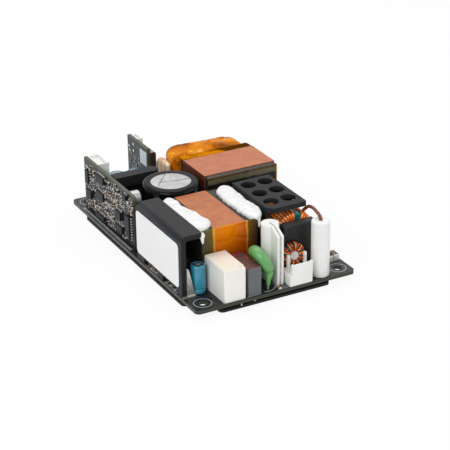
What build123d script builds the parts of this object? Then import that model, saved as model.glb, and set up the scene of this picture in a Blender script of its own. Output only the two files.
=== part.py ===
# Open-frame power supply on a 3 by 5 inch board. Millimetres, +Z up.
# The origin is under the middle of the base plate, +X is to the right and +Y to the back.
import math
import os

from build123d import *

os.makedirs("parts", exist_ok=True)

# Main board
board_width = 76.2
board_length = 127.0
board_thickness = 1.6
board_corner = 2.2
hole_inset = 5.715
hole_radius = 1.95
slit_width = 0.9
slit_length = 6.4
slit_inset = 10.35
edge_margin = 0.25

# Heat spreader plate under the board, and the pads that carry it
plate_thickness = 1.2
plate_gap = 1.6
plate_inset_x = 0.7
plate_inset_y = 1.3
plate_notch_x = 11.0
plate_notch_y = 12.4
plate_corner = 2.0
pad_width = 24.0
pad_length = 22.0
pad_shift_x = 14.5
pad_shift_y = 19.0

# Mains heatsink, a folded sheet with a flange at its top
sink_sheet = 2.2
sink_height = 27.6
sink_flange = 9.8
sink_bend = 2.4
sink_inner_bend = 0.8
sink_setback = 0.8
sink_tail = 2.4
sink_inset_y = 13.5
sink_foot = 4.6
sink_window = 2.6
label_thickness = 0.15
label_front_border = 2.5
label_back_border = 0.4
label_height = 20.0
label_corner = 2.0
label_base = 3.4
gusset_sheet = 0.8
gusset_width = 3.8
gusset_height = 13.2
gusset_tip = 0.9
gusset_foot = 2.2

# Power devices on the heatsinks
insulator_thickness = 0.3
insulator_border = 1.5
tab_sheet = 1.3
tab_height = 15.6
device_width = 10.0
device_depth = 3.1
device_height = 9.2
device_base = 4.2
device_pitch = 11.0
device_bevel = 0.4
lead_width = 0.9
lead_sheet = 0.5
lead_pitch = 2.54

# Gaps between neighbours
seat_gap = 0.1
part_gap = 0.5

# Crimp near the foot of every can
crimp_height = 1.2

# Bulk capacitor
bulk_radius = 12.8
bulk_height = 27.0
bulk_film = 0.3
bulk_edge = 1.6
bulk_lip = 3.5
bulk_groove = 0.6
bulk_inset_x = 23.2
bulk_bar_gap = 5.15

# Small blue capacitor beside the mains heatsink
aux_radius = 3.15
aux_height = 12.8
aux_film = 0.2
aux_edge = 0.5
aux_lip = 0.6
aux_groove = 0.45
aux_inset_x = 8.9
aux_inset_y = 15.6

# Relay, film capacitor and box capacitor
relay_width = 10.0
relay_length = 17.6
relay_height = 14.9
relay_bevel = 0.45
relay_notch = 0.9
relay_inset_x = 13.2
relay_inset_y = 0.6
film_cap_width = 6.15
film_cap_length = 17.1
film_cap_height = 12.6
film_cap_bevel = 0.35
film_cap_gap = 1.5
box_cap_width = 16.0
box_cap_length = 4.6
box_cap_height = 21.4
box_cap_inset_x = 27.8
box_cap_inset_y = 17.3
box_cap_bevel = 0.6

# Varistor, a coated disc that leans to the left
disc_radius = 6.9
disc_thickness = 4.8
disc_rim = 2.2
disc_lean = 29.0
disc_gap = 2.95
disc_inset_y = 6.9
disc_z = 12.5
disc_foot_spacing = 7.0
disc_foot_shift = 1.4
stem_top_radius = 1.7
stem_bottom_radius = 0.8
stem_base = 1.4
disc_lead_radius = 0.4

# Fuses in their white holders
holder_height = 25.2
holder_radius = 3.8
holder_wall = 0.9
holder_roof = 1.2
holder_edge = 0.7
holder_gap = 6.2
holder_inset_y = 12.7
channel_width = 3.0
channel_reach = 9.0
channel_drop = 2.8
groove_width = 0.9
groove_depth = 1.2
fuse_clearance = 0.3
fuse_base = 2.0
fuse_lead_radius = 0.35
tube_holder_radius = 4.0
tube_holder_inset_x = 15.0
tube_holder_inset_y = 4.6

# Pin headers: the input connector in front and the output connector behind
header_depth = 8.4
header_base = 5.0
header_wall = 1.2
header_wall_height = 9.7
header_ledge = 1.0
header_bevel = 0.3
header_pin = 1.14
header_pin_height = 12.6
header_pitch = 3.96
header_overhang = 3.1
header_inset = 0.15
inlet_ways = 3
inlet_shift = 2.6
outlet_ways = 7
outlet_inset_x = 41.1

# Small choke behind the input connector
small_core_radius = 4.9
small_core_bore = 2.7
small_core_thickness = 2.6
small_wire = 0.48
small_pairs = 11
small_step = 360 / 23
small_start = 278.0
small_inset_x = 25.0
small_inset_y = 10.4
small_z = 9.2
small_leg_shift = 0.5
small_hub_radius = 1.9
small_mount_depth = 3.9
small_mount_sheet = 0.4
small_mount_shift = 2.25

# Line choke, upright with its axis front to back
line_core_radius = 9.2
line_core_bore = 5.0
line_core_thickness = 8.4
line_layer = 1.1
line_inset_x = 19.4
line_inset_y = 23.0
line_z = 14.0
line_span = 150.0
line_gap = 11.0
line_gap_angle = 82.0
line_turns = 17
line_chamfer = 0.6
winding_groove = 0.4
winding_edge = 0.12
winding_leg = 0.6
winding_leg_angle = 34.0
choke_lead_radius = 0.8
choke_lead_reach = 7.6
choke_lead_rise = 1.7
choke_lead_bend = 1.2

# Filter choke behind it, under the cover
filter_core_radius = 7.1
filter_core_bore = 3.6
filter_core_thickness = 7.6
filter_layer = 0.9
filter_turns = 22
filter_span = 320.0
filter_gap_angle = 270.0
filter_share = 0.56
filter_z = 12.5

# Perforated cover over both chokes
cover_width = 18.5
cover_back_gap = 9.0
cover_plate = 2.2
cover_wall = 1.6
cover_top = 27.8
cover_inset_x = 31.7
cover_inset_y = 18.9
cover_lip = 4.0
cover_skirt = 11.1
cover_chamfer = 2.4
cover_round = 0.8
cover_hole_radius = 3.4
cover_hole_pitch_x = 8.3
cover_hole_pitch_y = 9.9
cover_hole_shift = 0.9
cover_hole_rim = 1.2
cover_leg = 3.2

# Power factor choke
pfc_cover_gap = 5.6
pfc_bulk_gap = 0.85
pfc_top = 25.0
pfc_inset_x = 12.6
pfc_leg = 5.8
pfc_plate = 4.5
pfc_edge = 0.5
pfc_band_width = 15.0
band_sheet = 0.3
coil_base = 1.5
base_rail = 3.0

# Main transformer
main_share = 0.21
main_top = 27.7
main_inset_left = 37.5
main_inset_right = 3.8
main_inset_back = 40.0
main_leg_left = 7.5
main_leg_right = 5.0
main_plate = 2.6
main_edge = 0.5
main_band_end = 3.1
main_band_setback = 3.1
bobbin_recess = 0.6
bulge_overhang = 1.7
bulge_reach = 17.6
bulge_drop = 0.4
bulge_corner = 8.0
bulge_edge = 2.5
wrap_width = 3.2
wrap_length = 11.0
wrap_edge = 1.2
wrap_shift = 9.0
wrap_top = 24.4

# Silicone beads on the power factor choke
bead_height = 2.0
bead_round = 0.7
bead_plug = 4.0
bead_left_outline = [
    (-3.1, 0.407),
    (-3.1, 0.688),
    (-0.9, 0.935),
    (1.9, 0.958),
    (4.0, 0.86),
    (3.4, 0.66),
    (5.7, 0.455),
    (5.9, 0.32),
    (6.9, 0.16),
    (5.6, 0.073),
    (-0.1, 0.008),
    (-2.9, 0.126),
]
bead_right_outline = [
    (-3.5, 0.809),
    (-2.0, 0.902),
    (2.1, 0.955),
    (4.4, 0.899),
    (4.5, 0.739),
    (4.4, 0.565),
    (3.8, 0.461),
    (4.8, 0.303),
    (3.9, 0.101),
    (1.8, 0.006),
    (-0.5, -0.017),
    (-2.5, 0.031),
    (-3.7, 0.278),
    (-4.2, 0.584),
]
beads = [
    (bead_left_outline, 0, -1.4, 2.6, 0.41, 12.0),
    (bead_right_outline, 1, 2.8, 5.6, 0.49, 16.0),
]

# Bar heatsink behind the bulk capacitor, with its rectifiers
bar_width = 21.6
bar_depth = 5.8
bar_height = 5.0
bar_top = 25.0
bar_inset_y = 40.7
bar_wall = 2.4
bar_chamfer = 1.6
bar_inset_x = 15.7
rectifier_pitch = 10.6

# Capacitors at the output
out_radius = 4.0
out_film = 0.15
out_edge = 0.5
out_lip = 0.7
out_groove = 0.4
tall_out_height = 20.4
low_out_height = 11.5
tall_out_places = [(10.5, 27.3), (20.5, 27.3)]
low_out_places = [(20.5, 16.9), (20.5, 6.9), (41.1, 14.5), (51.1, 14.5), (61.1, 14.5)]

# Control board at the left edge
control_length = 52.8
control_height = 25.0
control_sheet = 1.6
control_inset_x = 2.8
control_inset_back = 10.3
control_corner = 2.4
chip_thickness = 1.3
small_part_thickness = 0.7
control_cap_radius = 3.15
control_cap_length = 3.9
control_cap_along = 6.1
control_cap_z = 22.0
plug_width = 8.2
plug_height = 7.0
plug_wall = 0.8
plug_recess = 1.2
socket_long = 12.0
chip_lead_length = 0.9
chip_lead_width = 0.45
chip_lead_sheet = 0.4
chip_end = 0.4
chips = [
    (33.3, 21.2, 7.4, 3.3, 6),
    (34.1, 12.9, 7.0, 3.7, 5),
    (48.2, 17.0, 3.2, 6.0, -4),
    (46.6, 9.0, 5.0, 4.0, 3),
    (35.1, 2.2, 9.0, 2.0, 4),
    (15.0, 11.0, 5.4, 4.0, 4),
    (14.2, 4.6, 6.2, 3.4, 4),
    (5.0, 9.4, 3.8, 10.2, -8),
    (7.5, 22.5, 3.3, 2.1, 2),
]
face_parts = [
    (1.5, 20.0, 1.6, 0.9),
    (1.5, 17.4, 0.9, 1.6),
    (12.2, 21.6, 1.6, 0.9),
    (15.4, 22.0, 0.9, 1.6),
    (18.2, 20.4, 1.6, 0.9),
    (21.4, 21.4, 1.8, 1.2),
    (24.8, 21.8, 0.9, 1.6),
    (11.0, 17.0, 2.4, 1.3),
    (16.2, 16.6, 0.9, 1.6),
    (20.2, 16.2, 2.6, 1.6),
    (25.2, 16.8, 1.6, 0.9),
    (28.8, 16.0, 0.9, 1.6),
    (22.4, 11.4, 1.6, 0.9),
    (26.4, 11.8, 2.0, 1.2),
    (21.0, 6.8, 0.9, 1.6),
    (24.8, 6.2, 2.4, 1.4),
    (28.6, 6.8, 1.6, 0.9),
    (9.8, 2.2, 1.6, 0.9),
    (20.2, 2.2, 1.6, 0.9),
    (25.0, 1.8, 1.6, 0.9),
    (41.0, 21.2, 0.9, 1.6),
    (43.2, 17.6, 1.6, 0.9),
    (40.8, 13.2, 1.6, 0.9),
    (41.2, 6.4, 0.9, 1.6),
    (36.8, 6.2, 1.6, 0.9),
    (49.4, 3.6, 1.6, 0.9),
]

# Output board, parallel to it
output_board_length = 21.2
output_board_height = 27.4
output_board_inset_x = 29.2
output_board_inset = 1.0
stack_width = 2.9
stack_length = 6.4
stack_height = 13.0
stack_bevel = 0.6
stack_drop = 2.1
socket_width = 2.6
socket_length = 6.8
socket_height = 5.4
socket_inset = 1.0

# Safety and chip capacitors along the right edge
y_cap_radius = 4.2
y_cap_thickness = 3.0
y_cap_inset = 5.1
y_cap_places = (33.5, 43.5)
y_cap_stem = 3.0
y_cap_leg = 1.6
y_cap_bevel = 0.8
chip_cap_width = 2.6
chip_cap_length = 5.6
chip_cap_height = 2.4
chip_cap_end = 0.7
chip_cap_places = [(1.9, 14.9), (5.1, 14.6), (5.1, 22.5)]
window_part_inset = 1.2
window_part_pitch = 4.6
flat_part_width = 1.2
flat_part_length = 2.2
right_flat_parts = [(1.7, 65.5), (1.7, 71.5), (1.7, 89.5), (18.9, 10.5), (36.7, 2.0)]

# Pin tails under the board
tail_base = 0.85
tail_length = 1.2
tail_slope = 0.35
tail_spread = 1.25
relay_pins = (2.4, 8.0, 15.0)
film_pins = (1.2, 16.2)

# Levels and edges that follow from the sizes above
board_bottom = plate_thickness + plate_gap
board_top = board_bottom + board_thickness
left = -board_width / 2
right = board_width / 2
front = -board_length / 2
back = board_length / 2
corner = (Align.MIN, Align.MIN)
hole_spacing_x = board_width - 2 * hole_inset
hole_spacing_y = board_length - 2 * hole_inset
bar_front = back - bar_inset_y
bulk_x = left + bulk_inset_x
bulk_y = bar_front - bulk_bar_gap - bulk_radius
relay_x = left + relay_inset_x
relay_y = front + relay_inset_y
pfc_x = left + pfc_inset_x
pfc_y = relay_y + relay_length + part_gap + band_sheet
pfc_back = bulk_y - bulk_radius - pfc_bulk_gap
pfc_length = pfc_back - pfc_y
main_x = left + main_inset_left
main_width = right - main_inset_right - main_x
main_length = main_share * board_length
main_back = back - main_inset_back
main_front = main_back - main_length
cover_x = right - cover_inset_x
cover_front = front + cover_inset_y
cover_back = main_front - cover_back_gap
cover_length = cover_back - cover_front
pfc_width = cover_x - pfc_cover_gap - pfc_x


def level(z):
    """Horizontal plane at a height above the board."""
    return Plane.XY.offset(board_top + z)


def cross_plane(y):
    """Upright plane across the board: sketch X is X, sketch Y is Z, and it faces the front."""
    return Plane.XZ.offset(-y)


def side_plane(x):
    """Upright plane along the board: sketch X is Y, sketch Y is Z, and it faces the right."""
    return Plane.YZ.offset(x)


def hub_plane(x, y, z):
    """Upright plane centred on a round piece whose axis runs front to back."""
    return Plane(origin=(x, y, board_top + z), x_dir=(1, 0, 0), z_dir=(0, -1, 0))


def can_outline(radius, height, groove):
    """Corners of half a capacitor's section, with the crimp near the board."""
    crimp = crimp_height + groove
    return [
        (0, 0),
        (radius - groove, 0),
        (radius, groove),
        (radius, crimp),
        (radius - groove, crimp + groove),
        (radius, crimp + 2 * groove),
        (radius, height),
        (0, height),
    ]


def capacitor(x, y, radius, height, film, edge, lip, groove):
    """An upright electrolytic capacitor: its aluminium can and the sleeve shrunk onto it."""
    section = hub_plane(x, y, 0)
    axis = Axis((x, y, board_top), (0, 0, 1))
    with BuildPart() as can:
        with BuildSketch(section) as inner:
            with BuildLine():
                Polyline(*can_outline(radius - film, height - film, groove), close=True)
            make_face()
            fillet(inner.vertices().sort_by_distance((radius - film, height - film))[0], edge)
        revolve(axis=axis)
    with BuildPart() as sleeve:
        with BuildSketch(section) as outer:
            with BuildLine():
                Polyline(*can_outline(radius, height, groove), close=True)
            make_face()
            fillet(outer.vertices().sort_by_distance((radius, height))[0], edge + film)
        revolve(axis=axis)
        add(can.part, mode=Mode.SUBTRACT)
        with BuildSketch(level(height)):
            with Locations((x, y)):
                Circle(radius - film - lip)
        extrude(amount=-2 * film, mode=Mode.SUBTRACT)
    return can, sleeve


# Main board with its mounting holes and the slit beside the front left one
with BuildPart() as main_board:
    with BuildSketch(Plane.XY.offset(board_bottom)):
        RectangleRounded(board_width, board_length, board_corner)
        with GridLocations(hole_spacing_x, hole_spacing_y, 2, 2):
            Circle(hole_radius, mode=Mode.SUBTRACT)
        with Locations((left + slit_inset, -hole_spacing_y / 2)):
            Rectangle(slit_width, slit_length, mode=Mode.SUBTRACT)
    extrude(amount=board_thickness)
main_board.part.label = "main_board"
export_step(main_board.part, "parts/main_board.step")

# Base plate, cut back at its corners to clear the mounting holes
with BuildPart() as base_plate:
    with BuildSketch(Plane.XY) as plate_outline:
        Rectangle(board_width - 2 * plate_inset_x, board_length - 2 * plate_inset_y)
        with GridLocations(board_width - 2 * plate_inset_x, board_length - 2 * plate_inset_y, 2, 2):
            Rectangle(2 * plate_notch_x, 2 * plate_notch_y, mode=Mode.SUBTRACT)
        fillet(plate_outline.vertices(), plate_corner)
    extrude(amount=plate_thickness)
base_plate.part.label = "base_plate"
export_step(base_plate.part, "parts/base_plate.step")

# Soft heat pads that fill the gap between board and plate
with BuildPart() as gap_pads:
    with BuildSketch(Plane.XY.offset(plate_thickness)):
        with Locations((-pad_shift_x, -pad_shift_y), (pad_shift_x, pad_shift_y)):
            Rectangle(pad_width, pad_length)
    extrude(amount=plate_gap)
gap_pads.part.label = "gap_pads"
export_step(gap_pads.part, "parts/gap_pads.step")

# Mains heatsink: wall along the left edge, bent over into a flange, standing on three feet
sink_face = left + edge_margin
sink_back = pfc_back - sink_setback
sink_front = front + sink_inset_y
sink_length = sink_back - sink_front
sink_inside = sink_face + sink_sheet
flange_edge = sink_face + sink_flange
with BuildPart() as mains_heatsink:
    with BuildSketch(cross_plane(sink_back)) as fold:
        with BuildLine():
            Polyline(
                (sink_face, board_top),
                (sink_face, board_top + sink_height),
                (flange_edge, board_top + sink_height),
                (flange_edge, board_top + sink_height - sink_sheet),
                (sink_inside, board_top + sink_height - sink_sheet),
                (sink_inside, board_top),
                close=True,
            )
        make_face()
        bend_outside = (sink_face, board_top + sink_height)
        bend_inside = (sink_inside, board_top + sink_height - sink_sheet)
        fillet(fold.vertices().sort_by_distance(bend_outside)[0], sink_bend)
        fillet(fold.vertices().sort_by_distance(bend_inside)[0], sink_inner_bend)
    extrude(amount=sink_length)
    window_length = (sink_length - 3 * sink_foot) / 2
    window_starts = [sink_front + sink_foot, sink_front + 2 * sink_foot + window_length]
    with BuildSketch(side_plane(sink_face)):
        for window_start in window_starts:
            with Locations((window_start, board_top)):
                Rectangle(window_length, sink_window, align=corner)
    extrude(amount=sink_sheet, mode=Mode.SUBTRACT)
    flange_corners = mains_heatsink.edges().filter_by(Axis.Z).group_by(Axis.X)[-1]
    fillet(flange_corners, sink_inner_bend)
    with BuildSketch(side_plane(sink_face)):
        with Locations((sink_back, board_top)):
            Rectangle(sink_tail, sink_height - sink_bend, align=corner)
    extrude(amount=sink_sheet)
mains_heatsink.part.label = "mains_heatsink"
export_step(mains_heatsink.part, "parts/mains_heatsink.step")

# Bare white label on the wall's outer face
with BuildPart() as blank_label:
    label_front = sink_front + label_front_border
    label_length = sink_back + sink_tail - label_back_border - label_front
    label_middle = label_front + label_length / 2
    with BuildSketch(side_plane(sink_face)):
        with Locations((label_middle, board_top + label_base + label_height / 2)):
            RectangleRounded(label_length, label_height, label_corner)
    extrude(amount=-label_thickness)
blank_label.part.label = "blank_label"
export_step(blank_label.part, "parts/blank_label.step")

# Tinned gusset tab that ties the wall's front end to the board
gusset_left = sink_inside + seat_gap
with BuildPart() as gusset_tab:
    with BuildSketch(cross_plane(sink_front + gusset_sheet / 2)):
        with BuildLine():
            Polyline(
                (gusset_left, board_top),
                (gusset_left + gusset_width, board_top),
                (gusset_left + gusset_tip, board_top + gusset_height - gusset_tip),
                (gusset_left, board_top + gusset_height),
                close=True,
            )
        make_face()
    extrude(amount=gusset_sheet)
    with BuildSketch(level(0)):
        with Locations((gusset_left, sink_front)):
            Rectangle(gusset_width, gusset_foot / 2, align=(Align.MIN, Align.MAX))
            Rectangle(gusset_foot, gusset_foot / 2, align=(Align.MAX, Align.MAX))
    extrude(amount=gusset_sheet / 2)
gusset_tab.part.label = "gusset_tab"
export_step(gusset_tab.part, "parts/gusset_tab.step")

# Insulating sheet between the wall and its transistors
transistor_count = int((sink_length - 2 * insulator_border) / device_pitch)
transistor_run = device_pitch * (transistor_count - 1) + device_width
transistor_start = sink_back - insulator_border - transistor_run
with BuildPart() as transistor_insulator:
    with BuildSketch(side_plane(sink_inside)):
        with Locations((transistor_start - insulator_border, board_top + device_base - insulator_border)):
            Rectangle(
                transistor_run + 2 * insulator_border,
                tab_height + 2 * insulator_border,
                align=corner,
            )
    extrude(amount=insulator_thickness)
transistor_insulator.part.label = "transistor_insulator"
export_step(transistor_insulator.part, "parts/transistor_insulator.step")


def power_devices(face, row):
    """A row of flat power devices against a heatsink: their tabs and leads, and their bodies."""
    behind = face.offset(tab_sheet)
    with BuildPart() as tabs:
        for along in row:
            with BuildSketch(face):
                with Locations((along, board_top + device_base)):
                    Rectangle(device_width, tab_height, align=(Align.CENTER, Align.MIN))
            extrude(amount=tab_sheet)
            with BuildSketch(behind):
                with Locations((along, board_top)):
                    with GridLocations(lead_pitch, 0, 3, 1):
                        Rectangle(lead_width, device_base, align=(Align.CENTER, Align.MIN))
            extrude(amount=lead_sheet)
    with BuildPart() as bodies:
        with BuildSketch(behind):
            for along in row:
                with Locations((along, board_top + device_base)):
                    Rectangle(device_width, device_height, align=(Align.CENTER, Align.MIN))
        extrude(amount=device_depth)
        outer_faces = bodies.faces().sort_by(Axis(face.origin, face.z_dir))[-len(row) :]
        chamfer(outer_faces.edges(), device_bevel)
    return tabs, bodies


# Transistors along the mains heatsink and rectifiers behind the bar heatsink
bar_middle = left + bar_inset_x
bar_back = bar_front + bar_depth / 2 + bar_wall / 2
transistor_row = []
for number in range(transistor_count):
    transistor_row.append(transistor_start + device_width / 2 + number * device_pitch)
rectifier_row = [-bar_middle - rectifier_pitch / 2, -bar_middle + rectifier_pitch / 2]
bar_plane = Plane(origin=(0, bar_back, 0), x_dir=(-1, 0, 0), z_dir=(0, 1, 0))
transistor_tabs, transistor_bodies = power_devices(
    side_plane(sink_inside + insulator_thickness), transistor_row
)
rectifier_tabs, rectifier_bodies = power_devices(bar_plane, rectifier_row)
with BuildPart() as device_tabs:
    add(transistor_tabs.part)
    add(rectifier_tabs.part)
device_tabs.part.label = "device_tabs"
export_step(device_tabs.part, "parts/device_tabs.step")
with BuildPart() as device_bodies:
    add(transistor_bodies.part)
    add(rectifier_bodies.part)
device_bodies.part.label = "device_bodies"
export_step(device_bodies.part, "parts/device_bodies.step")

# Bulk capacitor
bulk_can, bulk_sleeve = capacitor(
    bulk_x, bulk_y, bulk_radius, bulk_height, bulk_film, bulk_edge, bulk_lip, bulk_groove
)
bulk_can.part.label = "bulk_can"
export_step(bulk_can.part, "parts/bulk_can.step")
bulk_sleeve.part.label = "bulk_sleeve"
export_step(bulk_sleeve.part, "parts/bulk_sleeve.step")

# Small blue capacitor
aux_x = left + aux_inset_x
aux_y = front + aux_inset_y
aux_can, aux_sleeve = capacitor(
    aux_x, aux_y, aux_radius, aux_height, aux_film, aux_edge, aux_lip, aux_groove
)
aux_can.part.label = "aux_can"
export_step(aux_can.part, "parts/aux_can.step")
aux_sleeve.part.label = "aux_sleeve"
export_step(aux_sleeve.part, "parts/aux_sleeve.step")

# Relay, with the small notch in its cover's top corner
with BuildPart() as relay:
    with BuildSketch(level(0)):
        with Locations((relay_x, relay_y)):
            Rectangle(relay_width, relay_length, align=corner)
    extrude(amount=relay_height)
    fillet(relay.edges().filter_by(Axis.Z), relay_bevel)
    chamfer(relay.faces().sort_by(Axis.Z)[-1].edges(), relay_bevel)
    with Locations((relay_x + relay_width, relay_y, board_top + relay_height)):
        Box(
            3 * relay_notch,
            2 * relay_notch,
            relay_notch,
            align=(Align.MAX, Align.MIN, Align.MAX),
            mode=Mode.SUBTRACT,
        )
relay.part.label = "relay"
export_step(relay.part, "parts/relay.step")

# Grey film capacitor beside it
film_cap_x = relay_x + relay_width + film_cap_gap
with BuildPart() as film_capacitor:
    with BuildSketch(level(0)):
        with Locations((film_cap_x, relay_y + relay_bevel)):
            Rectangle(film_cap_width, film_cap_length, align=corner)
    extrude(amount=film_cap_height)
    fillet(film_capacitor.edges().filter_by(Axis.Z), film_cap_bevel)
    chamfer(film_capacitor.faces().sort_by(Axis.Z)[-1].edges(), film_cap_bevel)
film_capacitor.part.label = "film_capacitor"
export_step(film_capacitor.part, "parts/film_capacitor.step")

# Black box capacitor in front of the line choke
box_cap_x = right - box_cap_inset_x
box_cap_front = front + box_cap_inset_y - box_cap_length
with BuildPart() as box_capacitor:
    with BuildSketch(level(0)):
        with Locations((box_cap_x, box_cap_front)):
            Rectangle(box_cap_width, box_cap_length, align=corner)
    extrude(amount=box_cap_height)
    fillet(box_capacitor.edges().filter_by(Axis.Z), box_cap_bevel)
    chamfer(box_capacitor.faces().sort_by(Axis.Z)[-1].edges(), box_cap_bevel)
box_capacitor.part.label = "box_capacitor"
export_step(box_capacitor.part, "parts/box_capacitor.step")

# Varistor: the coated disc and the coating that runs down its two leads
lean = math.radians(disc_lean)
disc_x = film_cap_x + film_cap_width + disc_gap
disc_y = front + disc_inset_y
disc_up = Vector(-math.sin(lean), 0, math.cos(lean))
disc_normal = Vector(math.cos(lean), 0, math.sin(lean))
disc_centre = Vector(disc_x, disc_y, board_top + disc_z)
feet = [Vector(disc_x + disc_foot_shift, disc_y + side * disc_foot_spacing / 2, board_top) for side in (-1, 1)]
with BuildPart() as varistor:
    with BuildSketch(Plane(origin=disc_centre, x_dir=disc_up, z_dir=(0, 1, 0))):
        RectangleRounded(2 * disc_radius, disc_thickness, disc_rim)
        with Locations((-disc_radius, 0)):
            Rectangle(2 * disc_radius, 2 * disc_radius, mode=Mode.INTERSECT)
    revolve(axis=Axis(disc_centre, disc_normal))
    for foot in feet:
        sideways = foot.Y - disc_y
        drop = math.sqrt((disc_radius - stem_top_radius) ** 2 - sideways**2)
        shoulder = disc_centre + Vector(0, sideways, 0) - disc_up * drop
        stem_end = foot + Vector(0, 0, stem_base)
        run = shoulder - stem_end
        with BuildSketch(Plane(origin=stem_end, z_dir=run)):
            Circle(stem_bottom_radius)
        with BuildSketch(Plane(origin=shoulder, z_dir=run)):
            Circle(stem_top_radius)
        loft()
varistor.part.label = "varistor"
export_step(varistor.part, "parts/varistor.step")

# Bare ends of the varistor's leads
with BuildPart() as varistor_leads:
    for foot in feet:
        with BuildSketch(level(0)):
            with Locations((foot.X, foot.Y)):
                Circle(disc_lead_radius)
        extrude(amount=stem_base + stem_bottom_radius)
    add(varistor.part, mode=Mode.SUBTRACT)
varistor_leads.part.label = "varistor_leads"
export_step(varistor_leads.part, "parts/varistor_leads.step")

# Left fuse holder: a tube over the fuse and a channel in front for the lead that comes back down
holder_x = disc_x + disc_foot_shift + holder_gap
holder_y = front + holder_inset_y
tube_holder_x = right - tube_holder_inset_x
tube_holder_y = front + tube_holder_inset_y
channel_front = holder_y - channel_reach
channel_top = board_top + holder_height - channel_drop
roof_top = board_top + holder_height
with BuildPart() as fuse_holder_left:
    with BuildSketch(level(0)):
        with Locations((holder_x, holder_y)):
            Circle(holder_radius)
            Rectangle(channel_width, channel_reach, align=(Align.CENTER, Align.MAX))
    extrude(amount=holder_height)
    with BuildSketch(level(0)):
        with Locations((holder_x, holder_y)):
            Circle(holder_radius - holder_wall)
    extrude(amount=holder_height - holder_roof, mode=Mode.SUBTRACT)
    with BuildSketch(side_plane(holder_x - holder_radius)):
        with BuildLine():
            Polyline(
                (channel_front, channel_top),
                (holder_y - holder_radius, roof_top),
                (channel_front, roof_top),
                close=True,
            )
        make_face()
    extrude(amount=2 * holder_radius, mode=Mode.SUBTRACT)
    with BuildSketch(side_plane(holder_x - groove_width / 2)):
        with BuildLine():
            Polyline(
                (channel_front, board_top),
                (channel_front + groove_depth, board_top),
                (channel_front + groove_depth, channel_top - groove_depth),
                (holder_y - holder_radius, roof_top - groove_depth),
                (holder_y + groove_width / 2, roof_top - groove_depth),
                (holder_y + groove_width / 2, roof_top),
                (channel_front, roof_top),
                close=True,
            )
        make_face()
    extrude(amount=groove_width, mode=Mode.SUBTRACT)
fuse_holder_left.part.label = "fuse_holder_left"
export_step(fuse_holder_left.part, "parts/fuse_holder_left.step")

# Right fuse holder: a plain tube, with a hole in its roof for the lead
with BuildPart() as fuse_holder_right:
    with BuildSketch(level(0)):
        with Locations((tube_holder_x, tube_holder_y)):
            Circle(tube_holder_radius)
    extrude(amount=holder_height)
    fillet(fuse_holder_right.edges().sort_by(Axis.Z)[-1], holder_edge)
    with BuildSketch(level(0)):
        with Locations((tube_holder_x, tube_holder_y)):
            Circle(tube_holder_radius - holder_wall)
    extrude(amount=holder_height - holder_roof, mode=Mode.SUBTRACT)
    with BuildSketch(level(holder_height)):
        with Locations((tube_holder_x, tube_holder_y)):
            Circle(groove_width)
    extrude(amount=-holder_roof, mode=Mode.SUBTRACT)
fuse_holder_right.part.label = "fuse_holder_right"
export_step(fuse_holder_right.part, "parts/fuse_holder_right.step")

# Left fuse on its lower lead; its upper lead comes through the roof and down the channel's groove
fuse_top = holder_height - holder_roof - fuse_clearance
with BuildPart() as fuse_left:
    with BuildSketch(level(fuse_base)):
        with Locations((holder_x, holder_y)):
            Circle(holder_radius - holder_wall - fuse_clearance)
    extrude(amount=fuse_top - fuse_base)
    with BuildSketch(level(0)):
        with Locations((holder_x, holder_y)):
            Circle(fuse_lead_radius)
    extrude(amount=fuse_base)
    with BuildLine() as lead_path:
        FilletPolyline(
            (holder_x, holder_y, board_top + fuse_top),
            (holder_x, holder_y, roof_top - groove_depth / 2),
            (holder_x, holder_y - holder_radius, roof_top - groove_depth / 2),
            (holder_x, channel_front + groove_depth / 2, channel_top - groove_depth / 2),
            (holder_x, channel_front + groove_depth / 2, board_top),
            radius=fuse_lead_radius + seat_gap,
        )
    with BuildSketch(level(fuse_top)):
        with Locations((holder_x, holder_y)):
            Circle(fuse_lead_radius)
    sweep(path=lead_path.wires()[0])
fuse_left.part.label = "fuse_left"
export_step(fuse_left.part, "parts/fuse_left.step")

# Right fuse, reached from above by the choke's lead
with BuildPart() as fuse_right:
    with BuildSketch(level(fuse_base)):
        with Locations((tube_holder_x, tube_holder_y)):
            Circle(tube_holder_radius - holder_wall - fuse_clearance)
    extrude(amount=fuse_top - fuse_base)
    with BuildSketch(level(0)):
        with Locations((tube_holder_x, tube_holder_y)):
            Circle(fuse_lead_radius)
    extrude(amount=fuse_base)
fuse_right.part.label = "fuse_right"
export_step(fuse_right.part, "parts/fuse_right.step")


def header_housing(x, y, width, faces):
    """White base of a pin header, with its friction wall on the side that faces outwards."""
    with BuildPart() as housing:
        with BuildSketch(level(0)):
            with Locations((x, y)):
                Rectangle(width, header_depth)
        extrude(amount=header_base)
        chamfer(housing.edges().filter_by(Axis.Z), header_bevel)
        wall_y = y + faces * (header_depth - header_wall) / 2
        with BuildSketch(level(header_base)):
            with Locations((x + header_ledge / 2, wall_y)):
                Rectangle(width - header_ledge, header_wall)
        extrude(amount=header_wall_height - header_base)
        with BuildSketch(level(header_wall_height)):
            with Locations((x + header_ledge / 2, wall_y - faces * header_wall / 2)):
                Rectangle(width - 3 * header_ledge, header_wall)
        extrude(amount=-2 * header_bevel, mode=Mode.SUBTRACT)
        with BuildSketch(level(0)):
            with Locations((x, y)):
                Rectangle(width - 3 * header_wall, header_depth / 2)
        extrude(amount=header_bevel, mode=Mode.SUBTRACT)
    return housing


def header_pins(x, y, places):
    """Square pins that stand in a header's base."""
    with BuildPart() as pins:
        with BuildSketch(level(0)):
            for place in places:
                with Locations((x + place, y)):
                    Rectangle(header_pin, header_pin)
        extrude(amount=header_pin_height)
        chamfer(pins.faces().sort_by(Axis.Z)[-len(places) :].edges(), header_bevel / 2)
    return pins


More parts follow.
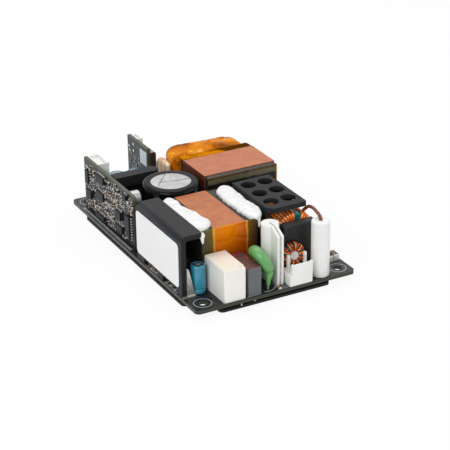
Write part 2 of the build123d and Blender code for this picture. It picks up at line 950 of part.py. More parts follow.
# Input connector at the front and output connector at the back edge
inlet_y = front + header_inset + header_depth / 2
outlet_y = back - header_inset - header_depth / 2
inlet_width = header_pitch * (inlet_ways - 1) + header_overhang
outlet_width = header_pitch * (outlet_ways - 1) + header_overhang
inlet_middle = holder_x + inlet_shift + inlet_width / 2
outlet_middle = left + outlet_inset_x + outlet_width / 2
inlet_places = [-header_pitch, header_pitch]
outlet_places = [(number - (outlet_ways - 1) / 2) * header_pitch for number in range(outlet_ways)]
inlet_pins = header_pins(inlet_middle, inlet_y, inlet_places)
outlet_pins = header_pins(outlet_middle, outlet_y, outlet_places)
with BuildPart() as connector_pins:
    add(inlet_pins.part)
    add(outlet_pins.part)
connector_pins.part.label = "connector_pins"
export_step(connector_pins.part, "parts/connector_pins.step")
for name, middle, y, width, faces in (
    ("input_connector", inlet_middle, inlet_y, inlet_width, -1),
    ("output_connector", outlet_middle, outlet_y, outlet_width, 1),
):
    housing = header_housing(middle, y, width, faces)
    with BuildPart() as connector:
        add(housing.part)
        add(connector_pins.part, mode=Mode.SUBTRACT)
    connector.part.label = name
    export_step(connector.part, f"parts/{name}.step")


def ring_core(x, y, z, outer, bore, thickness, edge):
    """Toroidal core with its axis front to back and its corners rounded off."""
    with BuildPart() as core:
        with BuildSketch(hub_plane(x, y, z)):
            Circle(outer)
            Circle(bore, mode=Mode.SUBTRACT)
        extrude(amount=thickness / 2, both=True)
        chamfer(core.edges().filter_by(GeomType.CIRCLE), edge)
    return core


def radial_plane(x, y, z, angle):
    """Plane through a ring's axis: sketch X runs outwards, sketch Y along the axis."""
    turn = math.radians(angle)
    outwards = (math.cos(turn), 0, math.sin(turn))
    return Plane(
        origin=(x, y, board_top + z),
        x_dir=outwards,
        z_dir=(math.sin(turn), 0, -math.cos(turn)),
    )


def wedge(inner, outer, start, span, steps):
    """Corners of a sector between two radii, as seen along a ring's axis."""
    angles = [math.radians(start + span * number / steps) for number in range(steps + 1)]
    corners = [(outer * math.cos(angle), outer * math.sin(angle)) for angle in angles]
    corners += [(inner * math.cos(angle), inner * math.sin(angle)) for angle in reversed(angles)]
    return corners


def ring_winding(core, x, y, z, outer, bore, thickness, layer, start, span, turns, legs):
    """Wire wound round part of a ring core, ribbed turn by turn, with legs down to the board."""
    under = layer - winding_groove
    pitch = span / turns
    with BuildPart() as winding:
        with BuildSketch(hub_plane(x, y, z)):
            Polygon(*wedge(bore - under, outer + under, start, span, turns), align=None)
        extrude(amount=thickness / 2 + under, both=True)
        with BuildSketch(hub_plane(x, y, z)):
            for number in range(turns):
                first = start + (number + winding_edge) * pitch
                breadth = pitch * (1 - 2 * winding_edge)
                Polygon(*wedge(bore - layer, outer + layer, first, breadth, 1), align=None)
        extrude(amount=thickness / 2 + layer, both=True)
        with BuildSketch(level(0)):
            for leg_x, leg_y, leg_height in legs:
                with Locations((x + leg_x, y + leg_y)):
                    Circle(winding_leg)
        extrude(amount=legs[0][2])
        add(core.part, mode=Mode.SUBTRACT)
    return winding


# Small choke: green core with red and golden turns in turn, round a white mount
small_x = right - small_inset_x
small_y = front + small_inset_y
small_core = ring_core(
    small_x, small_y, small_z, small_core_radius, small_core_bore, small_core_thickness, small_wire
)
small_core.part.label = "small_choke_core"
export_step(small_core.part, "parts/small_choke_core.step")
small_reach = small_core_radius - small_core_bore + 2 * small_wire
for name, first, side in (("small_choke_winding_red", 0, -1), ("small_choke_winding_gold", 1, 1)):
    with BuildPart() as turns:
        for number in range(small_pairs):
            angle = small_start + small_step * (2 * number + first)
            with BuildSketch(radial_plane(small_x, small_y, small_z, angle)):
                with Locations(((small_core_radius + small_core_bore) / 2, 0)):
                    Rectangle(small_reach, small_core_thickness + 2 * small_wire)
            extrude(amount=small_wire / 2, both=True)
        leg_y = small_y + side * (small_core_thickness + small_wire) / 2
        with BuildSketch(level(0)):
            with Locations((small_x - small_leg_shift, leg_y)):
                Circle(small_wire / 2)
        extrude(amount=small_z - (small_core_radius + small_core_bore) / 2)
        add(small_core.part, mode=Mode.SUBTRACT)
    turns.part.label = name
    export_step(turns.part, f"parts/{name}.step")
with BuildPart() as small_mount:
    with BuildSketch(hub_plane(small_x, small_y + small_mount_shift, small_z)):
        Circle(small_hub_radius)
    extrude(amount=small_mount_depth)
    with BuildSketch(hub_plane(small_x, small_y + small_mount_shift, small_z)):
        Circle(small_hub_radius)
        Rectangle(2 * small_hub_radius, small_z, align=(Align.CENTER, Align.MAX))
    extrude(amount=small_mount_sheet)
small_mount.part.label = "small_choke_mount"
export_step(small_mount.part, "parts/small_choke_mount.step")

# Line choke
line_x = right - line_inset_x
line_y = front + line_inset_y
line_core = ring_core(
    line_x, line_y, line_z, line_core_radius, line_core_bore, line_core_thickness, line_chamfer
)
line_core.part.label = "line_choke_core"
export_step(line_core.part, "parts/line_choke_core.step")
line_leg_x = line_core_radius * math.sin(math.radians(winding_leg_angle))
line_leg_y = line_core_thickness / 2 + line_layer - winding_leg
line_leg_height = line_z - line_core_radius * math.cos(math.radians(winding_leg_angle))
for name, start, side in (
    ("line_choke_winding_left", line_gap_angle + line_gap, -1),
    ("line_choke_winding_right", line_gap_angle - line_gap - line_span, 1),
):
    winding = ring_winding(
        line_core,
        line_x,
        line_y,
        line_z,
        line_core_radius,
        line_core_bore,
        line_core_thickness,
        line_layer,
        start,
        line_span,
        line_turns,
        [
            (side * line_leg_x, line_leg_y, line_leg_height),
            (side * line_leg_x, -line_leg_y, line_leg_height),
        ],
    )
    winding.part.label = name
    export_step(winding.part, f"parts/{name}.step")

# Brown stranded lead from the line choke over to the top of the right fuse
choke_lead_x = line_x + choke_lead_reach
winding_radius = line_core_radius + line_layer
choke_lead_foot = line_z + math.sqrt(winding_radius**2 - (choke_lead_reach - choke_lead_radius) ** 2)
with BuildPart() as choke_lead:
    with BuildLine() as lead_path:
        FilletPolyline(
            (tube_holder_x, tube_holder_y, board_top + fuse_top),
            (tube_holder_x, tube_holder_y, roof_top + choke_lead_rise),
            (choke_lead_x, line_y, roof_top + choke_lead_rise - choke_lead_radius),
            (choke_lead_x, line_y, board_top + choke_lead_foot),
            radius=choke_lead_bend,
        )
    with BuildSketch(level(fuse_top)):
        with Locations((tube_holder_x, tube_holder_y)):
            Circle(choke_lead_radius)
    sweep(path=lead_path.wires()[0])
choke_lead.part.label = "choke_lead"
export_step(choke_lead.part, "parts/choke_lead.step")

# Filter choke under the cover
filter_x = cover_x + cover_wall + filter_core_radius + filter_layer + part_gap
line_back = line_y + line_core_thickness / 2 + line_layer
filter_y = line_back + filter_share * (cover_back - cover_wall - line_back)
filter_core = ring_core(
    filter_x, filter_y, filter_z, filter_core_radius, filter_core_bore, filter_core_thickness, line_chamfer
)
filter_core.part.label = "filter_choke_core"
export_step(filter_core.part, "parts/filter_choke_core.step")
filter_leg_y = filter_core_thickness / 2 + filter_layer - winding_leg
filter_leg_x = filter_core_radius * math.sin(math.radians(winding_leg_angle))
filter_leg_height = filter_z - filter_core_radius * math.cos(math.radians(winding_leg_angle))
filter_winding = ring_winding(
    filter_core,
    filter_x,
    filter_y,
    filter_z,
    filter_core_radius,
    filter_core_bore,
    filter_core_thickness,
    filter_layer,
    filter_gap_angle + (360 - filter_span) / 2,
    filter_span,
    filter_turns,
    [
        (filter_leg_x, filter_leg_y, filter_leg_height),
        (filter_leg_x, -filter_leg_y, filter_leg_height),
        (-filter_leg_x, filter_leg_y, filter_leg_height),
        (-filter_leg_x, -filter_leg_y, filter_leg_height),
    ],
)
filter_winding.part.label = "filter_choke_winding"
export_step(filter_winding.part, "parts/filter_choke_winding.step")

# Perforated cover: top plate, left wall with a shorter lip in front, rear wall and a leg
cover_middle_x = cover_x + cover_width / 2
cover_middle_y = cover_front + cover_length / 2
cover_under = cover_top - cover_plate
cover_hole_rows = int((cover_length - 2 * cover_hole_rim) / cover_hole_pitch_y)
with BuildPart() as choke_cover:
    with BuildSketch(level(cover_under)) as cover_outline:
        with Locations((cover_middle_x, cover_middle_y)):
            Rectangle(cover_width, cover_length)
        front_left = cover_outline.vertices().sort_by_distance((cover_x, cover_front))[0]
        chamfer(front_left, cover_chamfer)
        fillet(cover_outline.vertices().sort_by_distance((cover_x + cover_width, cover_front))[0], cover_round)
        with Locations((cover_middle_x, cover_middle_y + cover_hole_shift)):
            with GridLocations(cover_hole_pitch_x, cover_hole_pitch_y, 2, cover_hole_rows):
                Circle(cover_hole_radius, mode=Mode.SUBTRACT)
    extrude(amount=cover_plate)
    with BuildSketch(level(cover_under - cover_lip)):
        with Locations((cover_x, cover_front + cover_chamfer)):
            Rectangle(cover_wall, cover_skirt - cover_chamfer, align=corner)
    extrude(amount=cover_lip)
    with BuildSketch(level(0)):
        with Locations((cover_x, cover_front + cover_skirt)):
            Rectangle(cover_wall, cover_length - cover_skirt, align=corner)
        with Locations((cover_x, cover_back)):
            Rectangle(cover_width, cover_wall, align=(Align.MIN, Align.MAX))
        with Locations((cover_x + cover_width, cover_back)):
            Rectangle(cover_wall, cover_leg, align=(Align.MAX, Align.MAX))
    extrude(amount=cover_under)
choke_cover.part.label = "choke_cover"
export_step(choke_cover.part, "parts/choke_cover.step")


def ferrite_core(x, y, width, length, bottom, top, leg_left, leg_right, plate_low, plate_high, edge):
    """Ferrite core with a window that runs front to back."""
    with BuildPart() as core:
        with BuildSketch(cross_plane(y + length)) as section:
            with Locations((x, board_top + bottom)):
                Rectangle(width, top - bottom, align=corner)
            chamfer(section.vertices(), edge)
            with Locations((x + leg_left, board_top + bottom + plate_low)):
                Rectangle(
                    width - leg_left - leg_right,
                    top - bottom - plate_low - plate_high,
                    align=corner,
                    mode=Mode.SUBTRACT,
                )
        extrude(amount=length)
    return core


# Power factor choke: ferrite core, coil, base, and the copper band round its middle
core_bottom = coil_base + band_sheet
pfc_core = ferrite_core(
    pfc_x, pfc_y, pfc_width, pfc_length, core_bottom, pfc_top, pfc_leg, pfc_leg, pfc_plate, pfc_plate, pfc_edge
)
pfc_core.part.label = "pfc_choke_core"
export_step(pfc_core.part, "parts/pfc_choke_core.step")
with BuildPart() as pfc_coil:
    with BuildSketch(cross_plane(pfc_y + pfc_length)):
        with Locations((pfc_x + pfc_leg, board_top + core_bottom + pfc_plate)):
            Rectangle(
                pfc_width - 2 * pfc_leg,
                pfc_top - core_bottom - 2 * pfc_plate,
                align=corner,
            )
    extrude(amount=pfc_length)
pfc_coil.part.label = "pfc_choke_coil"
export_step(pfc_coil.part, "parts/pfc_choke_coil.step")
with BuildPart() as pfc_base:
    with BuildSketch(level(0)):
        with Locations((pfc_x, pfc_y)):
            Rectangle(pfc_width, pfc_length, align=corner)
    extrude(amount=coil_base)
    chamfer(pfc_base.edges().filter_by(Axis.Z), pfc_edge)
    with BuildSketch(level(coil_base)):
        with Locations((pfc_x, pfc_y), (pfc_x + pfc_width - base_rail, pfc_y)):
            Rectangle(base_rail, pfc_length, align=corner)
    extrude(amount=band_sheet)
    add(pfc_core.part, mode=Mode.SUBTRACT)
pfc_base.part.label = "pfc_choke_base"
export_step(pfc_base.part, "parts/pfc_choke_base.step")
pfc_band_x = pfc_x + (pfc_width - pfc_band_width) / 2
with BuildPart() as pfc_band:
    with BuildSketch(side_plane(pfc_band_x)):
        with Locations((pfc_y - band_sheet, board_top + coil_base)):
            Rectangle(pfc_length + 2 * band_sheet, pfc_top + band_sheet - coil_base, align=corner)
        with Locations((pfc_y, board_top + core_bottom)):
            Rectangle(pfc_length, pfc_top - core_bottom, align=corner, mode=Mode.SUBTRACT)
    extrude(amount=pfc_band_width)
pfc_band.part.label = "pfc_choke_band"
export_step(pfc_band.part, "parts/pfc_choke_band.step")

# Main transformer: ferrite core, bobbin, taped winding that bulges out behind, base and band
main_core = ferrite_core(
    main_x,
    main_front,
    main_width,
    main_length,
    core_bottom,
    main_top,
    main_leg_left,
    main_leg_right,
    main_plate,
    main_plate,
    main_edge,
)
main_core.part.label = "transformer_core"
export_step(main_core.part, "parts/transformer_core.step")
bulge_left = main_x - bulge_overhang
bulge_width = main_width + bulge_overhang - part_gap
with BuildPart() as main_bobbin:
    with BuildSketch(cross_plane(main_back)):
        with Locations((main_x + main_leg_left, board_top + core_bottom + main_plate)):
            Rectangle(
                main_width - main_leg_left - main_leg_right,
                main_top - core_bottom - 2 * main_plate,
                align=corner,
            )
    extrude(amount=main_length - bobbin_recess)
    with BuildSketch(level(0)):
        with Locations((main_x, main_front)):
            Rectangle(main_width, main_length + bulge_reach - bulge_corner, align=corner)
    extrude(amount=coil_base)
    with BuildSketch(level(coil_base)):
        with Locations((main_x, main_front)):
            Rectangle(main_width, main_band_setback - seat_gap, align=corner)
        with Locations((main_x, main_back)):
            Rectangle(
                main_width,
                main_band_end - seat_gap,
                align=(Align.MIN, Align.MAX),
            )
    extrude(amount=band_sheet)
main_bobbin.part.label = "transformer_bobbin"
export_step(main_bobbin.part, "parts/transformer_bobbin.step")
with BuildPart() as main_coil:
    with BuildSketch(level(coil_base)) as coil_outline:
        with Locations((bulge_left, main_back)):
            Rectangle(bulge_width, bulge_reach, align=corner)
        rear_corners = coil_outline.vertices().group_by(Axis.Y)[-1]
        fillet(rear_corners, bulge_corner)
    extrude(amount=main_top - bulge_drop - coil_base)
    top_rim = main_coil.faces().sort_by(Axis.Z)[-1].edges().sort_by(Axis.Y)[1:]
    fillet(top_rim, bulge_edge)
main_coil.part.label = "transformer_coil"
export_step(main_coil.part, "parts/transformer_coil.step")
main_band_length = main_length - main_band_setback - main_band_end
with BuildPart() as main_band:
    with BuildSketch(cross_plane(main_back - main_band_end)):
        with Locations((main_x - band_sheet, board_top + coil_base)):
            Rectangle(main_width + 2 * band_sheet, main_top + band_sheet - coil_base, align=corner)
        with Locations((main_x, board_top + core_bottom)):
            Rectangle(main_width, main_top - core_bottom, align=corner, mode=Mode.SUBTRACT)
    extrude(amount=main_band_length)
main_band.part.label = "transformer_band"
export_step(main_band.part, "parts/transformer_band.step")

# Taped bundle of winding leads beside the transformer
with BuildPart() as lead_wrap:
    with BuildSketch(level(0)):
        with Locations((bulge_left - part_gap - wrap_width / 2, main_back + wrap_shift)):
            SlotOverall(wrap_length, wrap_width, rotation=90)
    extrude(amount=wrap_top)
    fillet(lead_wrap.faces().sort_by(Axis.Z)[-1].edges(), wrap_edge)
lead_wrap.part.label = "lead_wrap"
export_step(lead_wrap.part, "parts/lead_wrap.step")

# Silicone beads on top of the power factor choke, bonded to its neighbours
with BuildPart() as silicone_beads:
    for outline, side, plug_x, plug_width, plug_share, plug_length in beads:
        edge_x = pfc_x + side * pfc_width
        points = [(edge_x + across, pfc_y + share * pfc_length) for across, share in outline]
        with BuildSketch(level(pfc_top)):
            with BuildLine():
                Spline(*points, periodic=True)
            make_face()
        extrude(amount=bead_height)
        with BuildSketch(level(pfc_top - bead_plug)):
            with Locations((edge_x + plug_x, pfc_y + plug_share * pfc_length)):
                Rectangle(plug_width, plug_length)
        extrude(amount=bead_plug)
    for neighbour in (mains_heatsink, pfc_core, pfc_band, choke_cover):
        add(neighbour.part, mode=Mode.SUBTRACT)
    chamfer(silicone_beads.faces().filter_by(Axis.Z).group_by(Axis.Z)[-1].edges(), bead_round)
silicone_beads.part.label = "silicone_beads"
export_step(silicone_beads.part, "parts/silicone_beads.step")

# Bar heatsink behind the bulk capacitor: a broad head on a thin upright wall
bar_left = bar_middle - bar_width / 2
with BuildPart() as bar_heatsink:
    with BuildSketch(level(bar_top - bar_height)) as head_outline:
        with Locations((bar_middle, bar_front + bar_depth / 2)):
            Rectangle(bar_width, bar_depth)
        chamfer(head_outline.vertices().group_by(Axis.X)[-1], bar_chamfer)
    extrude(amount=bar_height)
    with BuildSketch(level(0)):
        with Locations((bar_middle, bar_front + bar_depth / 2)):
            Rectangle(bar_width - 2 * bar_chamfer, bar_wall)
    extrude(amount=bar_top - bar_height)
bar_heatsink.part.label = "bar_heatsink"
export_step(bar_heatsink.part, "parts/bar_heatsink.step")

# Output capacitors: two tall ones beside the control board and low ones towards the back
output_places = [(left + x, back - y, tall_out_height) for x, y in tall_out_places]
output_places += [(left + x, back - y, low_out_height) for x, y in low_out_places]
output_pairs = []
for x, y, height in output_places:
    output_pairs.append(capacitor(x, y, out_radius, height, out_film, out_edge, out_lip, out_groove))
with BuildPart() as output_cans:
    for can, sleeve in output_pairs:
        add(can.part)
output_cans.part.label = "output_cans"
export_step(output_cans.part, "parts/output_cans.step")
with BuildPart() as output_sleeves:
    for can, sleeve in output_pairs:
        add(sleeve.part)
output_sleeves.part.label = "output_sleeves"
export_step(output_sleeves.part, "parts/output_sleeves.step")

# Control board, upright along the left edge
control_face = left + control_inset_x
control_back_face = control_face + control_sheet
control_end = back - control_inset_back
control_front = control_end - control_length
with BuildPart() as control_board:
    with BuildSketch(side_plane(control_face)) as board_outline:
        with Locations((control_front, board_top)):
            Rectangle(control_length, control_height, align=corner)
        upper_front = (control_front, board_top + control_height)
        fillet(board_outline.vertices().sort_by_distance(upper_front)[0], control_corner)
    extrude(amount=control_sheet)
control_board.part.label = "control_board"
export_step(control_board.part, "parts/control_board.step")

# Chips on the control board's outer face: place along and up, length, height, and leads
with BuildPart() as control_chips:
    for along, up, length, height, leads in chips:
        with BuildSketch(side_plane(control_face)):
            with Locations((control_front + along, board_top + up)):
                Rectangle(length, height)
        extrude(amount=-chip_thickness)
control_chips.part.label = "control_chips"
export_step(control_chips.part, "parts/control_chips.step")
with BuildPart() as chip_leads:
    with BuildSketch(side_plane(control_face)):
        for along, up, length, height, leads in chips:
            sideways = leads < 0
            count = round(abs(leads))
            run = height if sideways else length
            reach = (length if sideways else height) / 2 + chip_lead_length / 2
            for number in range(count):
                place = (number - (count - 1) / 2) * run / count
                for side in (-1, 1):
                    if sideways:
                        spot = (control_front + along + side * reach, board_top + up + place)
                        size = (chip_lead_length, chip_lead_width)
                    else:
                        spot = (control_front + along + place, board_top + up + side * reach)
                        size = (chip_lead_width, chip_lead_length)
                    with Locations(spot):
                        Rectangle(*size)
    extrude(amount=-chip_lead_sheet)
chip_leads.part.label = "chip_leads"
export_step(chip_leads.part, "parts/chip_leads.step")

# Chip resistors and capacitors: on the control board's face and flat on the main board
window_row = round(window_length // window_part_pitch)
flat_parts = [(right - x, front + y) for x, y in right_flat_parts]
for window_start in window_starts:
    for number in range(window_row):
        along = window_length / 2 + (number - (window_row - 1) / 2) * window_part_pitch
        flat_parts.append((left + window_part_inset, window_start + along))
chip_cap_spots = [(right - x, front + y) for x, y in chip_cap_places]
with BuildPart() as chip_parts:
    with BuildSketch(side_plane(control_face)):
        for along, up, length, height in face_parts:
            with Locations((control_front + along, board_top + up)):
                Rectangle(length, height)
    extrude(amount=-small_part_thickness)
    with BuildSketch(level(0)):
        with Locations(*flat_parts):
            Rectangle(flat_part_width, flat_part_length)
    extrude(amount=small_part_thickness)
    with BuildSketch(level(0)):
        with Locations(*chip_cap_spots):
            Rectangle(chip_cap_width, chip_cap_length - 2 * chip_cap_end)
    extrude(amount=chip_cap_height)
chip_parts.part.label = "chip_parts"
export_step(chip_parts.part, "parts/chip_parts.step")

# Their tinned ends
with BuildPart() as chip_ends:
    with BuildSketch(side_plane(control_face)):
        for along, up, length, height in face_parts:
            with Locations((control_front + along, board_top + up)):
                if length > height:
                    with GridLocations(length + chip_end, 0, 2, 1):
                        Rectangle(chip_end, height)
                else:
                    with GridLocations(0, height + chip_end, 1, 2):
                        Rectangle(length, chip_end)
    extrude(amount=-small_part_thickness)
    with BuildSketch(level(0)):
        with Locations(*flat_parts):
            with GridLocations(0, flat_part_length + chip_end, 1, 2):
                Rectangle(flat_part_width, chip_end)
    extrude(amount=small_part_thickness)
    with BuildSketch(level(0)):
        with Locations(*chip_cap_spots):
            with GridLocations(0, chip_cap_length - chip_cap_end, 1, 2):
                Rectangle(chip_cap_width, chip_cap_end)
    extrude(amount=chip_cap_height)
chip_ends.part.label = "chip_ends"
export_step(chip_ends.part, "parts/chip_ends.step")

# Silver capacitor that lies on the control board's inner side
with BuildPart() as control_capacitor:
    with BuildSketch(side_plane(control_back_face)):
        with Locations((control_front + control_cap_along, board_top + control_cap_z)):
            Circle(control_cap_radius)
    extrude(amount=control_cap_length)
    fillet(control_capacitor.edges().sort_by(Axis.X)[-1], out_edge)
control_capacitor.part.label = "control_capacitor"
export_step(control_capacitor.part, "parts/control_capacitor.step")

# White sockets on the two upright boards, each open at its top
output_board_x = left + output_board_inset_x
output_board_y = back - output_board_inset - output_board_length
output_board_right = output_board_x + control_sheet
with BuildPart() as board_sockets:
    for x, y, width, length, top, height in (
        (control_back_face, control_end - socket_long, plug_width, socket_long, control_height, plug_height),
        (
            output_board_right,
            output_board_y + output_board_length - socket_inset - socket_length,
            socket_width,
            socket_length,
            output_board_height,
            socket_height,
        ),
    ):
        with BuildSketch(level(top - height)):
            with Locations((x, y)):
                Rectangle(width, length, align=corner)
        extrude(amount=height)
        with BuildSketch(level(top)):
            with Locations((x + plug_wall, y + plug_wall)):
                Rectangle(width - 2 * plug_wall, length - 2 * plug_wall, align=corner)
        extrude(amount=-plug_recess, mode=Mode.SUBTRACT)
board_sockets.part.label = "board_sockets"
export_step(board_sockets.part, "parts/board_sockets.step")

# Output board, upright behind the winding leads
with BuildPart() as output_board:
    with BuildSketch(side_plane(output_board_x)):
        with Locations((output_board_y, board_top)):
            Rectangle(output_board_length, output_board_height, align=corner)
    extrude(amount=control_sheet)
output_board.part.label = "output_board"
export_step(output_board.part, "parts/output_board.step")

# Stacked film capacitor on the output board
with BuildPart() as stacked_capacitor:
    with BuildSketch(level(output_board_height - stack_drop)):
        with Locations((output_board_right, output_board_y)):
            Rectangle(stack_width, stack_length, align=corner)
    extrude(amount=-stack_height)
    chamfer(stacked_capacitor.faces().sort_by(Axis.Z)[-1].edges().filter_by(Axis.Y)[-1], stack_bevel)
stacked_capacitor.part.label = "stacked_capacitor"
export_step(stacked_capacitor.part, "parts/stacked_capacitor.step")

# Safety capacitors near the right edge: coated discs on two coated legs
y_cap_x = right - y_cap_inset
y_cap_rows = [front + place for place in y_cap_places]
with BuildPart() as safety_capacitors:
    disc_height = y_cap_stem + y_cap_radius
    with BuildSketch(side_plane(y_cap_x)):
        for y in y_cap_rows:
            with Locations((y, board_top + disc_height)):
                Circle(y_cap_radius)
    extrude(amount=y_cap_thickness / 2, both=True)
    chamfer(safety_capacitors.edges().filter_by(GeomType.CIRCLE), y_cap_bevel)
    with BuildSketch(side_plane(y_cap_x)):
        for y in y_cap_rows:
            with Locations((y, board_top)):
                with GridLocations(y_cap_radius, 0, 2, 1):
                    Rectangle(y_cap_leg, disc_height, align=(Align.CENTER, Align.MIN))
    extrude(amount=y_cap_leg / 2, both=True)
safety_capacitors.part.label = "safety_capacitors"
export_step(safety_capacitors.part, "parts/safety_capacitors.step")

# Soldered pin tails on the underside of the main board
tails = [(aux_x - tail_spread, aux_y), (aux_x + tail_spread, aux_y)]
tails += [(inlet_middle + place, inlet_y) for place in inlet_places]
tails += [(outlet_middle + place, outlet_y) for place in outlet_places]
tails += [(relay_x + device_bevel * 4, relay_y + inset) for inset in relay_pins]
tails += [(relay_x + relay_width - device_bevel * 4, relay_y + inset) for inset in relay_pins]
tails += [(film_cap_x + film_cap_width / 2, relay_y + inset) for inset in film_pins]
tails += [(foot.X, foot.Y) for foot in feet]
tails += [(holder_x, channel_front + groove_depth / 2), (tube_holder_x, tube_holder_y)]
tails += [(x, y) for x, y, height in output_places[1:]]
tails += [(y_cap_x, y) for y in y_cap_rows]
with BuildPart() as solder_joints:
    with BuildSketch(Plane.XY.offset(board_bottom)):
        with Locations(*tails):
            RegularPolygon(tail_base, 6)
    extrude(amount=-tail_length)
    chamfer(solder_joints.faces().filter_by(Axis.Z).group_by(Axis.Z)[0].edges(), tail_slope)
solder_joints.part.label = "solder_joints"
export_step(solder_joints.part, "parts/solder_joints.step")
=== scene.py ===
# %% [markdown]
# # An open-frame power supply, dressed for a studio picture
# The solids come from the CAD model, in metres, and this script gives them finishes,
# adds the wire, tape and silicone that CAD leaves plain, and sets up camera and light.

# %% Load the frame
import math
import random

import bmesh
import bpy
from mathutils import Matrix, Vector, noise
from mathutils.bvhtree import BVHTree


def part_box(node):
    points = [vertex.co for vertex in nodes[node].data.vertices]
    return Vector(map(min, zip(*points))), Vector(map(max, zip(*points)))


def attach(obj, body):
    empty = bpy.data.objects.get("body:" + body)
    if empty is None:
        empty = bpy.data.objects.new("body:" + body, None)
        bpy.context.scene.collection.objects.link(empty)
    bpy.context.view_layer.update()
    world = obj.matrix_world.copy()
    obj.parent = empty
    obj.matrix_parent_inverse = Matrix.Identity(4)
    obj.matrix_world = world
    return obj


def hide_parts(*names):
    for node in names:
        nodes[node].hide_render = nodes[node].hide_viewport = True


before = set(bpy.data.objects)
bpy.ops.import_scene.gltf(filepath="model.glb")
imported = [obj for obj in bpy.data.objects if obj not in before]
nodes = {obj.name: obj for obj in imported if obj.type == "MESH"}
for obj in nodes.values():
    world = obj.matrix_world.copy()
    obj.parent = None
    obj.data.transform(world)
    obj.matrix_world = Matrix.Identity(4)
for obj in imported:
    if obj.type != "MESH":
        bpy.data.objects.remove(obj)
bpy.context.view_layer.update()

print("solids in the frame:", len(nodes))
MM = 0.001
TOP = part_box("main_board")[1][2]
print("board top at", round(TOP / MM, 2), "mm")

# %% [markdown]
# The camera repeats the place from which a photographer would take a catalogue picture:
# in front, a little to the left and above. A long lens keeps the edges nearly parallel.
# The rotation is built from azimuth, elevation and a slight roll, because a matrix of the
# three view directions says exactly where the camera looks, with no target to chase. The
# numbers were fitted to the board's corners and edges.

# %% Camera
azimuth, elevation, roll = math.radians(28.03745), math.radians(25.31632), math.radians(-0.67534)
camera_place = (-0.290787, -0.563275, 0.303733 + TOP)
film_width, focal_length = 36.0, 125.716
backwards = Vector(
    (-math.sin(azimuth) * math.cos(elevation), -math.cos(azimuth) * math.cos(elevation), math.sin(elevation))
)
level_right = Vector((0, 0, 1)).cross(backwards).normalized()
level_up = backwards.cross(level_right)
right = math.cos(roll) * level_right + math.sin(roll) * level_up
up = math.cos(roll) * level_up - math.sin(roll) * level_right
camera_data = bpy.data.cameras.new("catalogue_camera")
camera_data.sensor_width = film_width
camera_data.lens = focal_length
camera_data.clip_start = 0.01
camera = bpy.data.objects.new("catalogue_camera", camera_data)
turn = Matrix((right, up, backwards)).transposed().to_4x4()
camera.matrix_world = Matrix.Translation(camera_place) @ turn
bpy.context.collection.objects.link(camera)
bpy.context.scene.camera = camera
print("camera", [round(value, 3) for value in camera.matrix_world.translation])

# %% [markdown]
# Every material in this script is a small tree of shader nodes. One helper adds a node and
# sets its options and inputs in a single call. An input takes a plain value or the output
# of another node, so a finish can be read from top to bottom.

# %% Node helpers


def link(tree, first, second):
    tree.links.new(first, second)


def add_node(tree, kind, inputs=None, **options):
    """Adds a shader node with its options, and fills its inputs with values or other outputs."""
    made = tree.nodes.new(f"ShaderNode{kind}")
    for option, choice in options.items():
        setattr(made, option, choice)
    for socket, value in (inputs or {}).items():
        if isinstance(value, bpy.types.NodeSocket):
            link(tree, value, made.inputs[socket])
        else:
            made.inputs[socket].default_value = value
    return made


def mixed(tree, share, first, second, blend_type="MIX"):
    """The output of a colour mix that runs from first, at a share of 0, to second, at 1."""
    inputs = {"Factor": share, "A": first, "B": second}
    return add_node(tree, "Mix", inputs, data_type="RGBA", blend_type=blend_type).outputs["Result"]


def fill_ramp(ramp, stops):
    """Gives a colour ramp its stops, each a position and a colour."""
    elements = ramp.color_ramp.elements
    for number, (position, colour) in enumerate(stops):
        element = elements[number] if number < 2 else elements.new(position)
        element.position = position
        element.color = colour


print("helpers for node trees are ready")

# %% [markdown]
# A product on white needs a floor that is nearly the background's own white but still
# takes a soft shadow. To the camera, to reflections and through glass, the floor is nine
# parts even light to one part white paper. The world shows white to them too, while it
# lights the object at a calmer level.

# %% Floor and world
scene = bpy.context.scene
scene.view_settings.view_transform = "Standard"


def seen_directly(tree):
    """One for rays from the camera, from mirror-like surfaces and through glass."""
    path = add_node(tree, "LightPath").outputs
    first = add_node(tree, "Math", {0: path["Is Camera Ray"], 1: path["Is Glossy Ray"]}, operation="MAXIMUM")
    second = {0: first.outputs[0], 1: path["Is Transmission Ray"]}
    return add_node(tree, "Math", second, operation="MAXIMUM").outputs[0]


world = bpy.data.worlds.new("studio")
scene.world = world
world.use_nodes = True
tree = world.node_tree
tree.nodes.clear()
calm = add_node(tree, "Background", {"Color": (0.93, 0.96, 1.0, 1), "Strength": 0.5})
white = add_node(tree, "Background", {"Color": (1, 1, 1, 1), "Strength": 1.0})
chosen = add_node(tree, "MixShader", {"Fac": seen_directly(tree), 1: calm.outputs[0], 2: white.outputs[0]})
add_node(tree, "OutputWorld", {"Surface": chosen.outputs[0]})

floor_material = bpy.data.materials.new("studio_floor")
floor_material.use_nodes = True
tree = floor_material.node_tree
tree.nodes.clear()
paper = add_node(tree, "BsdfDiffuse", {"Color": (0.86, 0.86, 0.86, 1)})
glow = add_node(tree, "Emission", {"Strength": 1.0})
share = add_node(tree, "Math", {0: seen_directly(tree), 1: 0.9}, operation="MULTIPLY")
blend = add_node(tree, "MixShader", {"Fac": share.outputs[0], 1: paper.outputs[0], 2: glow.outputs[0]})
add_node(tree, "OutputMaterial", {"Surface": blend.outputs[0]})
floor_mesh = bpy.data.meshes.new("studio_floor")
reach, drop = 6.0, -0.0002
corners = [(-reach, -reach), (reach, -reach), (reach, reach), (-reach, reach)]
floor_mesh.from_pydata([(x, y, drop) for x, y in corners], [], [(0, 1, 2, 3)])
floor_mesh.materials.append(floor_material)
floor = bpy.data.objects.new("studio_floor", floor_mesh)
bpy.context.collection.objects.link(floor)
